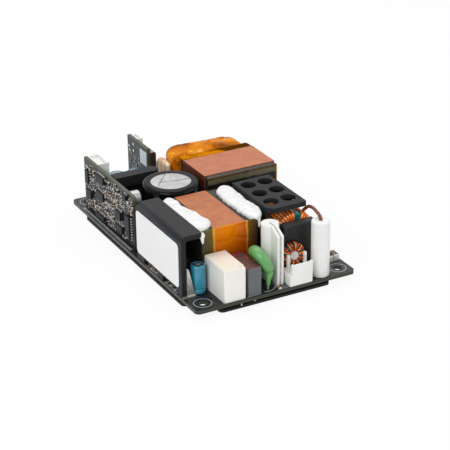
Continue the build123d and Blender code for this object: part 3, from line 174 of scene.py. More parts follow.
print("floor laid, metres across:", 2 * reach)

# %% [markdown]
# Three large soft lamps do what studio boxes do. The key stands at the front left, so the
# label side and the front both catch it, a weaker one fills from the right, and one above
# draws a pale sheen along the tops of cans and tape.

# %% Lamps
aim = Vector((0, 0, 0.015))


def soft_box(name, place, size, power):
    """A rectangular lamp that faces the object, with its place and size in metres."""
    lamp = bpy.data.lights.new(name, "AREA")
    lamp.shape = "RECTANGLE"
    lamp.size, lamp.size_y = size
    lamp.energy = power
    lamp_object = bpy.data.objects.new(name, lamp)
    away = (Vector(place) - aim).to_track_quat("Z", "Y")
    lamp_object.matrix_world = Matrix.Translation(place) @ away.to_matrix().to_4x4()
    bpy.context.collection.objects.link(lamp_object)


soft_box("key_box", (-0.75, -0.55, 0.75), (0.7, 0.7), 6.6)
soft_box("fill_box", (0.75, -0.6, 0.4), (0.8, 0.6), 2.2)
soft_box("top_box", (0.05, 0.35, 0.95), (0.8, 0.6), 4.4)
print("lamps:", [lamp.name for lamp in bpy.data.lights])

# %% [markdown]
# Every finish starts from the same small recipe: a colour that drifts a little from place
# to place, roughness that drifts with it, and a fine bump. One helper builds it from noise
# in object coordinates, so it needs no unwrapping and stays on the piece from every side.
# Colours are noted as they look on a screen and turned into the linear light that the
# shader works in.

# %% Finish helper


def tone(red, green, blue):
    """Screen values from 0 to 255 as linear light."""
    linear = []
    for value in (red, green, blue):
        value /= 255
        linear.append(value / 12.92 if value <= 0.04045 else ((value + 0.055) / 1.055) ** 2.4)
    return linear[0], linear[1], linear[2], 1.0


def dimmed(colour, share):
    """A colour with this share of its light."""
    return [part * share for part in colour[:3]] + [1]


coat_rough, rough_drift, grain_height = 0.12, 0.08, 0.0002


def finish(name, colour, rough=0.45, metal=0.0, drift=0.12, drift_scale=220, grain=2600, bump=0.08, coat=0.0,
           specular=0.5, stretch=(1, 1, 1), second=None, blend_at=(0.35, 0.65)):
    """A finish whose colour drifts to a darker tone, or to a second colour, over a noise pattern."""
    material = bpy.data.materials.new(name)
    material.use_nodes = True
    tree = material.node_tree
    shader = tree.nodes["Principled BSDF"]
    shader.inputs["Metallic"].default_value = metal
    shader.inputs["Coat Weight"].default_value = coat
    shader.inputs["Coat Roughness"].default_value = coat_rough
    shader.inputs["Specular IOR Level"].default_value = specular
    place = add_node(tree, "TexCoord")
    mapping = add_node(tree, "Mapping", {"Vector": place.outputs["Object"], "Scale": stretch})
    clouds = add_node(tree, "TexNoise", {"Vector": mapping.outputs[0], "Scale": drift_scale, "Detail": 4})
    ramp = add_node(tree, "ValToRGB", {"Fac": clouds.outputs["Fac"]})
    fill_ramp(ramp, zip(blend_at, (second or dimmed(colour, 1 - drift), colour)))
    link(tree, ramp.outputs["Color"], shader.inputs["Base Color"])
    limits = {"To Min": max(rough - rough_drift, 0.02), "To Max": min(rough + rough_drift, 1)}
    spread = add_node(tree, "MapRange", {"Value": clouds.outputs["Fac"], **limits})
    link(tree, spread.outputs["Result"], shader.inputs["Roughness"])
    fine = add_node(tree, "TexNoise", {"Vector": mapping.outputs[0], "Scale": grain, "Detail": 3})
    relief = add_node(tree, "Bump", {"Height": fine.outputs["Fac"], "Strength": bump,
                                     "Distance": grain_height})
    link(tree, relief.outputs["Normal"], shader.inputs["Normal"])
    return material


def dress(name, material):
    """Gives a solid one finish in all its material slots."""
    piece = nodes[name]
    if not piece.data.materials:
        piece.data.materials.append(material)
    for place in piece.material_slots:
        place.link = "OBJECT"
        place.material = material


print("screen grey 128 is linear", round(tone(128, 128, 128)[0], 3))

# %% [markdown]
# The solids whose shape is already right only need their finish: moulded plastics, bare and
# coated metal, ferrite and wire coatings. The table pairs each finish with its solids.

# %% Plain finishes
solder = finish("tinned_metal", tone(214, 210, 200), rough=0.3, metal=0.75, drift=0.25, drift_scale=900)
bright_tin = finish("bright_tin", tone(232, 230, 224), rough=0.32, metal=0.35, drift=0.2, drift_scale=1200)
white_nylon = finish("white_nylon", tone(233, 232, 228), rough=0.4, drift=0.05, drift_scale=120, bump=0.04)
relay_case = finish("yellowed_lid", tone(236, 233, 226), rough=0.4, drift=0.03, drift_scale=90, bump=0.03)
black_case = finish("black_case", tone(38, 38, 40), rough=0.45, drift=0.25, bump=0.1, specular=0.3)
chip_case = finish("chip_case", tone(30, 30, 31), rough=0.5, drift=0.25, bump=0.1, specular=0.25)
cover_plastic = finish("cover_plastic", tone(34, 34, 36), rough=0.62, drift=0.12, drift_scale=400, bump=0.25,
                       specular=0.22)
can_metal = finish("can_metal", tone(196, 194, 193), rough=0.34, metal=0.3, drift=0.24, drift_scale=300)
dark_can = finish("dark_can", tone(92, 92, 94), rough=0.3, metal=0.7, drift=0.3, drift_scale=500)
black_sleeve = finish("black_sleeve", tone(10, 10, 12), rough=0.14, drift=0.3, drift_scale=140, bump=0.02,
                      specular=0.1)
blue_sleeve = finish("blue_sleeve", tone(44, 140, 168), rough=0.22, drift=0.25, drift_scale=140, bump=0.03,
                     coat=0.4)
heatsink_coat = finish("heatsink_coat", tone(34, 34, 36), rough=0.55, drift=0.15, drift_scale=500, bump=0.2,
                       specular=0.22)
plate_coat = finish("plate_coat", tone(20, 20, 22), rough=0.55, drift=0.2, bump=0.15, specular=0.25)
ferrite = finish("ferrite", tone(46, 44, 40), rough=0.45, drift=0.25, drift_scale=600, grain=3800, bump=0.2,
                 specular=0.35)
green_coat = finish("varistor_coat", tone(94, 156, 88), rough=0.36, drift=0.12, drift_scale=180, bump=0.06,
                    coat=0.15)
teal_core = finish("teal_core", tone(0, 108, 104), rough=0.34, drift=0.15, drift_scale=300, bump=0.06,
                   coat=0.2)
dark_core = finish("dark_core", tone(8, 60, 50), rough=0.34, drift=0.15, drift_scale=300, bump=0.06)
pad_rubber = finish("pad_rubber", tone(120, 124, 130), rough=0.8, drift=0.1, bump=0.3)
label_film = finish("label_film", tone(232, 231, 230), rough=0.36, drift=0.02, drift_scale=60, bump=0.02)
chip_ceramic = finish("chip_ceramic", tone(142, 104, 66), rough=0.4, drift=0.3, drift_scale=260,
                      second=tone(30, 27, 25), blend_at=(0.48, 0.54))
blue_coat = finish("blue_coat", tone(30, 78, 150), rough=0.3, drift=0.15, drift_scale=300, coat=0.3)
blue_core = finish("blue_core", tone(14, 66, 190), rough=0.34, drift=0.15, drift_scale=300, coat=0.2)
plain_finishes = [
    (solder, "gusset_tab device_tabs varistor_leads fuse_left fuse_right solder_joints"),
    (bright_tin, "connector_pins chip_leads chip_ends"),
    (white_nylon, "fuse_holder_left fuse_holder_right input_connector output_connector board_sockets"
     " small_choke_mount"),
    (black_case, "box_capacitor device_bodies pfc_choke_base transformer_bobbin"),
    (chip_case, "control_chips"),
    (cover_plastic, "choke_cover"),
    (can_metal, "bulk_can output_cans control_capacitor"),
    (dark_can, "aux_can"),
    (black_sleeve, "bulk_sleeve"),
    (blue_sleeve, "aux_sleeve output_sleeves"),
    (heatsink_coat, "bar_heatsink"),
    (plate_coat, "base_plate"),
    (ferrite, "pfc_choke_core transformer_core"),
    (teal_core, "line_choke_core"),
    (blue_core, "filter_choke_core"),
    (dark_core, "small_choke_core"),
    (pad_rubber, "gap_pads transistor_insulator"),
    (label_film, "blank_label"),
    (chip_ceramic, "chip_parts"),
    (blue_coat, "safety_capacitors"),
]
for material, names in plain_finishes:
    for name in names.split():
        dress(name, material)
print("solids dressed:", sum(len(names.split()) for material, names in plain_finishes))

# %% [markdown]
# Some solids look different on top than on their sides: a relay whose lid has yellowed, a
# film capacitor whose resin face gets a painted reflection of red wire, copper tape whose
# wound edges show as layers under painted shade, a heatsink wall in painted bluish shade.
# Paint on real faces would need more solids. Here the surface normal chooses between two
# colours, and the second one may come in fine layers.

# %% Faced finishes


def faced(base, axis, face_colour, stripe=None):
    """A finish whose faces along one axis get their own colour, or fine layers of several."""
    tree = base.node_tree
    shader = tree.nodes["Principled BSDF"]
    place = tree.nodes["Texture Coordinate"].outputs
    split = add_node(tree, "SeparateXYZ", {0: place["Normal"]})
    size = add_node(tree, "Math", {0: split.outputs[axis]}, operation="ABSOLUTE")
    edge = add_node(tree, "MapRange", {"Value": size.outputs[0], "From Min": 0.6, "From Max": 0.8})
    if stripe:
        scale, stretch, stops = stripe
        mapping = add_node(tree, "Mapping", {"Vector": place["Object"], "Scale": stretch})
        layers = add_node(tree, "TexNoise", {"Vector": mapping.outputs[0], "Scale": scale, "Detail": 3})
        ramp = add_node(tree, "ValToRGB", {"Fac": layers.outputs["Fac"]})
        fill_ramp(ramp, stops)
        face_colour = ramp.outputs["Color"]
    side_colour = shader.inputs["Base Color"].links[0].from_socket
    both = mixed(tree, edge.outputs["Result"], side_colour, face_colour)
    link(tree, both, shader.inputs["Base Color"])
    return base


dress("relay", faced(relay_case, "Z", tone(234, 224, 208)))
film_case = finish("grey_case", tone(97, 100, 102), rough=0.5, drift=0.08, drift_scale=900, bump=0.12,
                   specular=0.35)
resin = tone(88, 62, 58)
# The red stops are a painted reflection of red wire on the resin face.
red_glints = [(0.4, tone(84, 62, 58)), (0.53, resin), (0.56, tone(170, 48, 40)), (0.62, tone(92, 40, 62))]
dress("film_capacitor", faced(film_case, "Z", resin, (230, (0.35, 1.6, 1), red_glints)))
shaded_wall_coat = finish("shaded_wall_coat", tone(28, 28, 30), rough=0.5, drift=0.15, drift_scale=500, bump=0.2,
                   specular=0.22)
# Faces that look along X get a darker, bluish colour: painted shade on the heatsink wall.
dress("mains_heatsink", faced(shaded_wall_coat, "X", tone(20, 25, 33)))
stack_case = finish("stack_case", tone(44, 36, 32), rough=0.4, drift=0.2, drift_scale=300)
dress("stacked_capacitor", faced(stack_case, "Z", tone(150, 128, 118)))
# The band's sides: layers of its wound edges, darkened by painted shade.
layered = [
    (0.36, tone(26, 14, 8)), (0.48, tone(70, 28, 10)), (0.56, tone(132, 58, 24)), (0.66, tone(52, 22, 10)),
]
copper_tape = finish("copper_shaded_sides", tone(188, 112, 72), rough=0.42, metal=0.3, bump=0.1,
                     second=tone(174, 98, 60))
dress("transformer_band", faced(copper_tape, "X", tone(60, 28, 14), (260, (0.3, 0.12, 9), layered)))
choke_tape = finish("choke_tape", tone(184, 108, 58), rough=0.42, metal=0.25, bump=0.1,
                    second=tone(166, 92, 46))
dress("pfc_choke_band", faced(choke_tape, "Y", tone(196, 104, 16)))
print("faced solids: relay, heatsink, two capacitors and both bands")

# %% [markdown]
# The circuit board is a dark, slightly glossy mask over glass fibre. Its cut edge shows the
# bare laminate in olive, and copper runs show through the mask as fine darker lines. One
# material can do both: the surface normal tells face from edge, and the borders of a cell
# pattern stand for the runs.

# %% Board finish


layer_scale, run_scale, run_width = 400, 260, 0.09


def board_finish(name, mask, edge, axis):
    """Mask on the faces that look along one axis, and layered laminate on the cut edges."""
    material = finish(name, mask, rough=0.34, drift=0.3, drift_scale=500, bump=0.1, specular=0.32)
    tree = material.node_tree
    place = tree.nodes["Texture Coordinate"].outputs
    split = add_node(tree, "SeparateXYZ", {0: place["Normal"]})
    flat = add_node(tree, "Math", {0: split.outputs[axis]}, operation="ABSOLUTE")
    cut = add_node(tree, "Math", {0: flat.outputs[0], 1: 0.5}, operation="LESS_THAN")
    stretched = add_node(tree, "Mapping", {"Vector": place["Object"], "Scale": (0.2, 0.2, 6)})
    layers = add_node(tree, "TexNoise", {"Vector": stretched.outputs[0], "Scale": layer_scale})
    laminate = add_node(tree, "ValToRGB", {"Fac": layers.outputs["Fac"]})
    fill_ramp(laminate, [(0, dimmed(edge, 0.55)), (1, edge)])
    runs = add_node(tree, "TexVoronoi", {"Vector": place["Object"], "Scale": run_scale},
                    feature="DISTANCE_TO_EDGE")
    near = add_node(tree, "Math", {0: runs.outputs["Distance"], 1: run_width}, operation="LESS_THAN")
    traced = mixed(tree, near.outputs[0], tree.nodes["Color Ramp"].outputs["Color"], dimmed(mask, 0.45))
    both = mixed(tree, cut.outputs[0], traced, laminate.outputs["Color"])
    link(tree, both, tree.nodes["Principled BSDF"].inputs["Base Color"])
    return material


dress("main_board", board_finish("flat_board", tone(32, 36, 38), tone(60, 60, 48), "Z"))
upright_board = board_finish("upright_board", tone(28, 32, 36), tone(76, 84, 58), "X")
for name in ("control_board", "output_board"):
    dress(name, upright_board)
print("boards dressed")

# %% [markdown]
# Tape, wire and silicone are what CAD leaves plain. The tape is a clear amber film over
# copper. Its colour runs from bright amber to brown, a few pale stops in between stand for
# glints, and the borders of a cell pattern crease it. Magnet wire is copper under thin
# enamel: part metal, quite glossy.

# %% Tape, wire and silicone finishes


crease_width, crease_height = 0.12, 0.0004


def creased(material, scale, depth):
    """Adds sharp creases, as in crumpled film, on top of a finish's own fine bump."""
    tree = material.node_tree
    place = tree.nodes["Mapping"].outputs[0]
    cells = add_node(tree, "TexVoronoi", {"Vector": place, "Scale": scale}, feature="DISTANCE_TO_EDGE")
    edge = add_node(tree, "MapRange", {"Value": cells.outputs["Distance"], "From Max": crease_width})
    fine = tree.nodes["Bump"].outputs["Normal"]
    fold = add_node(tree, "Bump", {"Height": edge.outputs["Result"], "Normal": fine, "Strength": depth,
                                   "Distance": crease_height})
    link(tree, fold.outputs["Normal"], tree.nodes["Principled BSDF"].inputs["Normal"])
    return material


amber_tape = finish("amber_tape", tone(208, 118, 0), rough=0.14, drift_scale=70, grain=260, bump=0.1,
                    specular=0.03, second=tone(136, 68, 0), blend_at=(0.38, 0.52))
creased(amber_tape, 55, 0.3)
glint_ramp = amber_tape.node_tree.nodes["Color Ramp"].color_ramp
for position, colour in ((0.585, (222, 136, 6)), (0.592, (250, 208, 136)), (0.6, (222, 136, 6))):
    glint_ramp.elements.new(position).color = tone(*colour)
copper_wire = finish("copper_wire", tone(246, 142, 44), rough=0.28, metal=0.35, drift_scale=700, coat=0.25,
                     second=tone(206, 92, 20))
red_wire = finish("red_wire", tone(240, 56, 16), rough=0.28, drift_scale=500, coat=0.3,
                  second=tone(190, 28, 10))
gold_wire = finish("gold_wire", tone(246, 178, 78), rough=0.26, metal=0.15, drift_scale=500, coat=0.3,
                   second=tone(226, 112, 36))
brown_wire = finish("brown_strands", tone(146, 78, 36), rough=0.34, metal=0.3, drift_scale=700, coat=0.2,
                    second=tone(66, 30, 16))
silicone = finish("silicone", tone(231, 230, 228), rough=0.36, drift=0.07, drift_scale=240, grain=500,
                  bump=0.14)
wrap_film = finish("lead_wrap_film", tone(226, 206, 176), rough=0.3, drift_scale=300, coat=0.3,
                   stretch=(1, 1, 0.15), second=tone(190, 120, 60), blend_at=(0.4, 0.66))
print("finishes:", len(bpy.data.materials))

# %% [markdown]
# Soft, poured or wrapped pieces start from their CAD solid. A copy is remeshed into small
# even faces, smoothed so that its corners melt, and pushed in and out by noise. Working
# from the copy keeps the piece where CAD put it. Sculpting by hand would look as good but
# could not be repeated, and a plain subdivision would keep the hard corners.

# %% Melted copies


def settle(name, data, material, slot, *stands_for):
    """Adds a mesh or a curve to the object, with its finish and the solids it stands for; slot is not used.
    """
    piece = bpy.data.objects.new(name, data)
    bpy.context.collection.objects.link(piece)
    data.materials.clear()
    data.materials.append(material)
    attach(piece, "root")
    if stands_for:
        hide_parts(*stands_for)
    return piece


def mesh_of(form, name="helper"):
    """Turns a bmesh into a mesh and frees it."""
    mesh = bpy.data.meshes.new(name)
    form.to_mesh(mesh)
    form.free()
    return mesh


def melted(source, voxel, rounds, lumps=()):
    """A smooth, finely meshed copy of a solid's mesh, with rounded lumps added first.

    Each lump is a place and three radii in millimetres; the voxels weld it to the solid."""
    form = bmesh.new()
    form.from_mesh(nodes[source].data)
    for place, radii in lumps:
        stretch = Matrix.Diagonal((*[radius * MM for radius in radii], 1))
        shape = Matrix.Translation(Vector(place) * MM) @ stretch
        bmesh.ops.create_icosphere(form, subdivisions=3, radius=1.0, matrix=shape)
    helper = bpy.data.objects.new("helper", mesh_of(form))
    bpy.context.collection.objects.link(helper)
    remesh = helper.modifiers.new("remesh", "REMESH")
    remesh.mode = "VOXEL"
    remesh.voxel_size = voxel * MM
    remesh.use_smooth_shade = True
    smooth = helper.modifiers.new("smooth", "SMOOTH")
    smooth.factor = 0.5
    smooth.iterations = rounds
    view = bpy.context.evaluated_depsgraph_get()
    mesh = bpy.data.meshes.new_from_object(helper.evaluated_get(view))
    bpy.data.objects.remove(helper)
    return mesh


def push(mesh, depth, low=None, high=None):
    """Moves each vertex along its normal by depth(place, normal) millimetres, kept inside a box."""
    mesh.update()
    moves = [depth(vertex.co / MM, vertex.normal) * MM * vertex.normal for vertex in mesh.vertices]
    for vertex, move in zip(mesh.vertices, moves):
        spot = vertex.co + move
        if low:
            spot = Vector(min(max(value, least), most) for value, least, most in zip(spot, low, high))
        vertex.co = spot
    mesh.update()


runs_down = [((-1.9, -59.6, 11.6), (1.5, 1.9, 3.0)), ((-2.6, -59.9, 9.4), (1.0, 1.3, 2.4))]
varistor_mesh = melted("varistor", 0.28, 12, runs_down)
varistor = settle("varistor_disc", varistor_mesh, green_coat, "green_coating", "varistor")
print("varistor faces:", len(varistor.data.polygons))

# %% [markdown]
# The two silicone beads were squeezed from a nozzle in one slow pass. They stay lumpy, with
# soft ridges across their length, and they never get sharp edges. Lumps strung along each
# bead are welded to its solid, and a few small ones hang over its front end as drips.

# %% Silicone beads
# Each lump: its x and y, and its reach across and along the bead, in millimetres
left_string = [
    (-25.2, -41.6, 3.9, 3.0), (-24.2, -38.2, 4.9, 3.2), (-23.8, -34.4, 4.6, 3.2), (-24.0, -30.6, 4.3, 3.0),
    (-24.4, -26.8, 4.2, 3.2), (-24.8, -22.8, 3.3, 3.0), (-24.4, -18.8, 2.9, 3.0), (-24.2, -15.2, 2.7, 2.8),
]
right_string = [
    (0.6, -41.8, 3.0, 3.2), (1.4, -38.4, 4.2, 3.0), (1.4, -34.6, 4.7, 3.2), (1.2, -30.6, 4.3, 3.0),
    (1.0, -26.6, 4.4, 3.0), (1.0, -22.4, 4.5, 3.2), (1.4, -18.2, 4.3, 3.0), (1.6, -14.4, 3.6, 2.8),
]
lump_depth, lump_height = 1.9, 2.2
bead_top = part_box("silicone_beads")[1][2] / MM
bead_lumps = [
    ((x, y, bead_top - lump_depth), (across, along, lump_height))
    for x, y, across, along in left_string + right_string
]
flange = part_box("mains_heatsink")
drip_x, drip_y = flange[1][0] / MM, flange[0][1] / MM
bead_lumps += [
    ((drip_x + 0.3, drip_y + 1.6, bead_top - 1.4), (1.7, 2.0, 1.2)),
    ((drip_x + 0.2, drip_y + 0.1, bead_top - 2.6), (0.8, 0.7, 1.5)),
    ((drip_x + 0.3, drip_y + 0.2, bead_top - 3.9), (0.5, 0.5, 0.9)),
    ((1.6, -44.6, bead_top - 2.6), (0.8, 0.6, 1.6)),
    ((1.5, -45.1, bead_top - 4.4), (0.7, 0.35, 1.6)),
]
bead_mesh = melted("silicone_beads", 0.26, 6, bead_lumps)


def bead_ridges(place, normal):
    ridge = noise.noise(Vector((place.x * 0.14, place.y * 0.55, place.z * 0.2)))
    small = noise.noise(Vector((place.x * 0.5 + 9, place.y * 1.1, place.z * 0.5)))
    return (0.34 * ridge + 0.16 * small) * max(normal.z, 0.25)


push(bead_mesh, bead_ridges)
beads = settle("silicone_bead_pair", bead_mesh, silicone, "silicone", "silicone_beads")
print("bead faces:", len(beads.data.polygons))

# %% [markdown]
# The transformer's winding bulges out behind the core under many turns of amber tape. The
# tape lies tight and smooth, but where it turns down over the corners it puckers into a few
# sharp pleats. Noise alone would look like bark, so the pleats are written as planes: a
# vertex close to a plane sinks, and one beside it rises.

# %% Taped winding
low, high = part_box("transformer_coil")
coil_top = high[2] / MM
crown = [((10.0, 31.0, coil_top - 1.6), (11.5, 8.0, 1.7)), ((22.5, 31.0, coil_top - 1.6), (11.0, 8.5, 1.8))]
coil_mesh = melted("transformer_coil", 0.42, 5, crown)
# Each pleat: its middle's x and y, its heading in degrees, and how far it sinks and spreads
pleats = [
    (-1.0, 27.0, 24, 1.3, 0.5), (2.4, 24.0, 58, 1.4, 0.6), (5.0, 24.0, 82, 0.9, 0.5),
    (19.6, 28.0, 86, 1.4, 0.6), (9.5, 30.0, 100, 0.4, 0.9), (29.0, 30.0, 112, 0.5, 0.7),
    (13.5, 26.0, 64, 0.45, 0.6), (25.0, 34.0, 40, 0.4, 0.7),
]
pleat_reach, pleat_lean, rim_share, crown_rise = 9, 0.12, 0.45, 0.45


def tape_pleats(place, normal):
    depth = 0.6 * noise.noise(Vector((place.x * 0.07 + 4, place.y * 0.1, place.z * 0.05)))
    for x, y, heading, sink, breadth in pleats:
        across = Vector((-math.sin(math.radians(heading)), math.cos(math.radians(heading)), pleat_lean))
        off = across.dot(place - Vector((x, y, coil_top)))
        away = math.hypot(place.x - x, place.y - y)
        weight = math.exp(-((away / pleat_reach) ** 2))
        rim = rim_share * math.exp(-(((off - breadth) / breadth) ** 2))
        depth += weight * sink * (rim - math.exp(-((off / breadth) ** 2)))
    return depth


push(coil_mesh, tape_pleats, low, (high[0], high[1], high[2] + crown_rise * MM))
coil = settle("taped_winding", coil_mesh, amber_tape, "tape", "transformer_coil")
dress("pfc_choke_coil", amber_tape)
print("coil faces:", len(coil.data.polygons))

# %% [markdown]
# The transformer's flying leads stand beside it in a loose wrap of film. It gets the same
# treatment as the winding: melt the solid's corners, then let noise, stretched along the
# leads, push the skin in and out where single wires show through.

# %% Wrapped leads


def wire_lumps(place, normal):
    return 0.5 * noise.noise(Vector((place.x * 0.5, place.y * 0.6, place.z * 0.08)))


wrap_mesh = melted("lead_wrap", 0.4, 5)
push(wrap_mesh, wire_lumps)
leads = settle("wrapped_leads", wrap_mesh, wrap_film, "wrap", "lead_wrap")
print("wrap faces:", len(leads.data.polygons))

# %% [markdown]
# Clear amber film also covers the fronts of both cores. Over dark ferrite it looks olive,
# over copper it glows orange, and its cut edges show as thin yellow lines. Each film is a
# slightly wrinkled sheet with real thickness. Its colour is a ramp along the sheet, in
# object coordinates, darkened towards the board as painted shade.

# %% Film finish


def span_share(tree, value, span):
    """Zero at a span's first place and one at its last, both in millimetres."""
    ends = {"From Min": span[0] * MM, "From Max": span[1] * MM}
    return add_node(tree, "MapRange", {"Value": value, **ends}).outputs["Result"]


def film_finish(name, axis, span, stops, low_shade, shade_span):
    """Amber film: colour stops along one axis, under painted shade that fades out with height."""
    material = finish(name, tone(200, 120, 20), rough=0.14, drift_scale=300, grain=600, bump=0.1, coat=0.1,
                      specular=0.12)
    tree = material.node_tree
    split = add_node(tree, "SeparateXYZ", {0: tree.nodes["Texture Coordinate"].outputs["Object"]})
    along = span_share(tree, split.outputs[axis], span)
    clouds = tree.nodes["Noise Texture"].outputs["Fac"]
    wander = add_node(tree, "Math", {0: clouds, 1: 0.04, 2: along}, operation="MULTIPLY_ADD")
    ramp = add_node(tree, "ValToRGB", {"Fac": wander.outputs[0]})
    fill_ramp(ramp, [(position, tone(*colour)) for position, colour in stops])
    # Painted shade: darker towards the board, fading out with height.
    height_shade = mixed(tree, span_share(tree, split.outputs["Z"], shade_span), low_shade, (1, 1, 1, 1))
    film = mixed(tree, 1, ramp.outputs["Color"], height_shade, blend_type="MULTIPLY")
    link(tree, film, tree.nodes["Principled BSDF"].inputs["Base Color"])
    return creased(material, 100, 0.55)


def box_mm(name):
    """A solid's lowest and highest corner in millimetres."""
    return [[value / MM for value in corner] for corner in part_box(name)]


choke_low, choke_high = box_mm("pfc_choke_core")
choke_stops = [
    (0.0, (84, 78, 50)), (0.2, (104, 90, 42)), (0.235, (226, 172, 50)), (0.26, (216, 116, 0)),
    (0.5, (230, 130, 2)), (0.8, (196, 88, 0)), (0.825, (224, 168, 44)), (0.85, (112, 72, 20)),
    (1.0, (66, 52, 26)),
]
choke_film = film_finish("choke_front_film", "X", (choke_low[0], choke_high[0]), choke_stops,
                         (0.5, 0.3, 0.22, 1), (choke_high[2] - 15, choke_high[2] - 2))
core_low, core_high = box_mm("transformer_core")
main_stops = [
    (0.0, (46, 38, 26)), (0.58, (44, 38, 30)), (0.74, (34, 30, 26)), (0.885, (30, 27, 24)),
    (0.905, (92, 88, 68)), (0.965, (104, 98, 76)), (0.975, (104, 84, 54)), (1.0, (74, 56, 38)),
]
core_rise = (core_low[2], core_high[2])
main_film = film_finish("main_front_film", "Z", core_rise, main_stops, (0.8, 0.8, 0.8, 1), core_rise)
corner_film = finish("corner_film", tone(236, 186, 40), rough=0.16, drift_scale=300, coat=0.5,
                     second=tone(206, 140, 16))
print("colour stops of the films:", len(choke_stops), "and", len(main_stops))

# %% [markdown]
# Each film starts as rows of points: a slightly wrinkled grid in front of the core, and a
# lap that folds back over the top edge. A solidify modifier then gives it thickness. The
# corner tape is the same kind of sheet with an outline bent round the core's front corner.

# %% Core films


def thicken(piece, thickness, offset=1):
    """Gives a sheet real thickness, in millimetres."""
    body = piece.modifiers.new("thickness", "SOLIDIFY")
    body.thickness = thickness * MM
    body.offset = offset


def tape_sheet(name, rows, material, thickness, offset=1, smooth=True):
    """A sheet of tape through rows of places in millimetres."""
    form = bmesh.new()
    grid = [[form.verts.new([value * MM for value in place]) for place in row] for row in rows]
    for lower, upper in zip(grid, grid[1:]):
        for column in range(len(lower) - 1):
            form.faces.new((lower[column], lower[column + 1], upper[column + 1], upper[column]))
    mesh = mesh_of(form, name)
    for face in mesh.polygons:
        face.use_smooth = smooth
    thicken(settle(name, mesh, material, "tape"), thickness, offset)


film_gap, wrinkle_depth, film_thickness = 0.05, 0.07, 0.05


def front_film(name, left, right, face, bottom, top, material, lap=0.7):
    """A wrinkled film in front of a core, lapped over its top edge. Places in millimetres."""
    columns, rows, lap_rows = 60, 40, 3
    across = [left + (right - left) * column / columns for column in range(columns + 1)]
    grid = []
    for row in range(rows + 1):
        z = bottom + (top - bottom) * row / rows
        wrinkles = [wrinkle_depth * abs(noise.noise(Vector((x * 0.25, z * 0.3, top)))) for x in across]
        grid.append([(x, face - film_gap - wrinkle, z) for x, wrinkle in zip(across, wrinkles)])
    for row in range(lap_rows):
        y = face + lap * (row + 0.5) / (lap_rows + 0.5)
        grid.append([(x, y, top + 0.04) for x in across])
    tape_sheet(name, grid, material, film_thickness)


tape_low, tape_high = box_mm("pfc_choke_band")
front_film("choke_film", choke_low[0], choke_high[0], tape_low[1], choke_low[2] + 1, tape_high[2],
           choke_film)
front_film("main_film", core_low[0], core_high[0] - 0.5, core_low[1], core_low[2] + 1, core_high[2],
           main_film, lap=1.0)
edge_x, edge_y = core_high[0] + 0.06, core_low[1] - 0.08
outline = [(edge_x - 0.55, edge_y), (edge_x - 0.15, edge_y), (edge_x, edge_y + 0.15), (edge_x, edge_y + 3.0)]
heights = (core_low[2] + 1, core_high[2] * 0.6, core_high[2] - 0.4)
tape_sheet("corner_tape", [[(x, y, z) for x, y in outline] for z in heights], corner_film, 0.06, offset=-1,
           smooth=False)
print("films laid over both cores")

# %% [markdown]
# A choke is a ring with wire wound through its hole. Each turn is a loop round the ring's
# section, so a curve that goes round the section while it slowly turns round the ring
# gives the whole winding in one piece. Inside the hole there is less room than outside:
# every second turn lies one wire further in.

# %% Winding helper


def curve_piece(name, paths, radius, material, slot, stands_for=(), cyclic=False):
    """Round wire along one or more paths, each a list of points in millimetres."""
    data = bpy.data.curves.new(name, "CURVE")
    data.dimensions = "3D"
    data.bevel_depth = radius * MM
    data.bevel_resolution = 2
    data.use_fill_caps = True
    for path in paths:
        spline = data.splines.new("POLY")
        spline.points.add(len(path) - 1)
        for point, place in zip(spline.points, path):
            point.co = (*[value * MM for value in place], 1)
        spline.use_cyclic_u = cyclic
        spline.use_smooth = True
    return settle(name, data, material, slot, *stands_for)


squareness, steps_per_turn = 0.45, 22


def loop_point(centre, ring, angle, phase, inner_extra=0.0):
    """A point of one turn. ring holds the wire's inner and outer radius and half depth."""
    inner, outer, half = ring
    inner -= inner_extra
    across, along = math.cos(phase), math.sin(phase)
    across = math.copysign(abs(across) ** squareness, across)
    along = math.copysign(abs(along) ** squareness, along)
    reach = (outer + inner) / 2 + across * (outer - inner) / 2
    return (
        centre[0] + reach * math.cos(angle),
        centre[1] - along * half,
        centre[2] + reach * math.sin(angle),
    )


def wound(centre, ring, start, span, turns, inner_extra=0.0):
    """One continuous winding of so many turns from a start angle over a span, in degrees."""
    path = []
    for step in range(turns * steps_per_turn + 1):
        turn = step / steps_per_turn
        angle = math.radians(start + span * turn / turns)
        extra = inner_extra * (int(turn) % 2)
        path.append(loop_point(centre, ring, angle, 2 * math.pi * turn, extra))
    return path


def ring_centre(name):
    low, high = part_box(name)
    return [(low[axis] + high[axis]) / 2 / MM for axis in range(3)]


core = ring_centre("line_choke_core")
line_wire = 0.52
ring = (5.0 - line_wire, 9.2 + line_wire, 4.2 + line_wire)
for name, start in (("left", 93), ("right", -79)):
    path = wound(core, ring, start, 150, 18, inner_extra=0.9)
    curve_piece(f"line_choke_wire_{name}", [path], line_wire, copper_wire, "copper_wire",
                (f"line_choke_winding_{name}",))
print("line choke centre, mm:", [round(value, 1) for value in core])

# %% [markdown]
# The small choke behind the input connector carries a red and a gold wire side by side.
# Its turns lie far apart, so each is a closed loop with a slight slant, which is simpler
# than one long wire, and nobody can see a turn run on into the next. The choke under the
# cover has thirty close turns, so it is wound in one go like the line choke.

# %% Small choke and filter choke
core = ring_centre("small_choke_core")
small_wire = 0.28
ring = (2.7 - small_wire, 4.9 + small_wire, 1.3 + small_wire)
pairs, first_angle, pair_gap, slant, loop_steps = 10, 282, 13, math.radians(4), 20
for name, shift, material in (("red", 0, red_wire), ("gold", pair_gap, gold_wire)):
    loops = []
    for number in range(pairs):
        angle = math.radians(first_angle + 360 / pairs * number + shift)
        phases = [2 * math.pi * step / loop_steps for step in range(loop_steps)]
        loops.append([loop_point(core, ring, angle + slant * math.sin(phase), phase) for phase in phases])
    curve_piece(f"small_choke_wire_{name}", loops, small_wire, material, f"{name}_wire",
                (f"small_choke_winding_{name}",), cyclic=True)

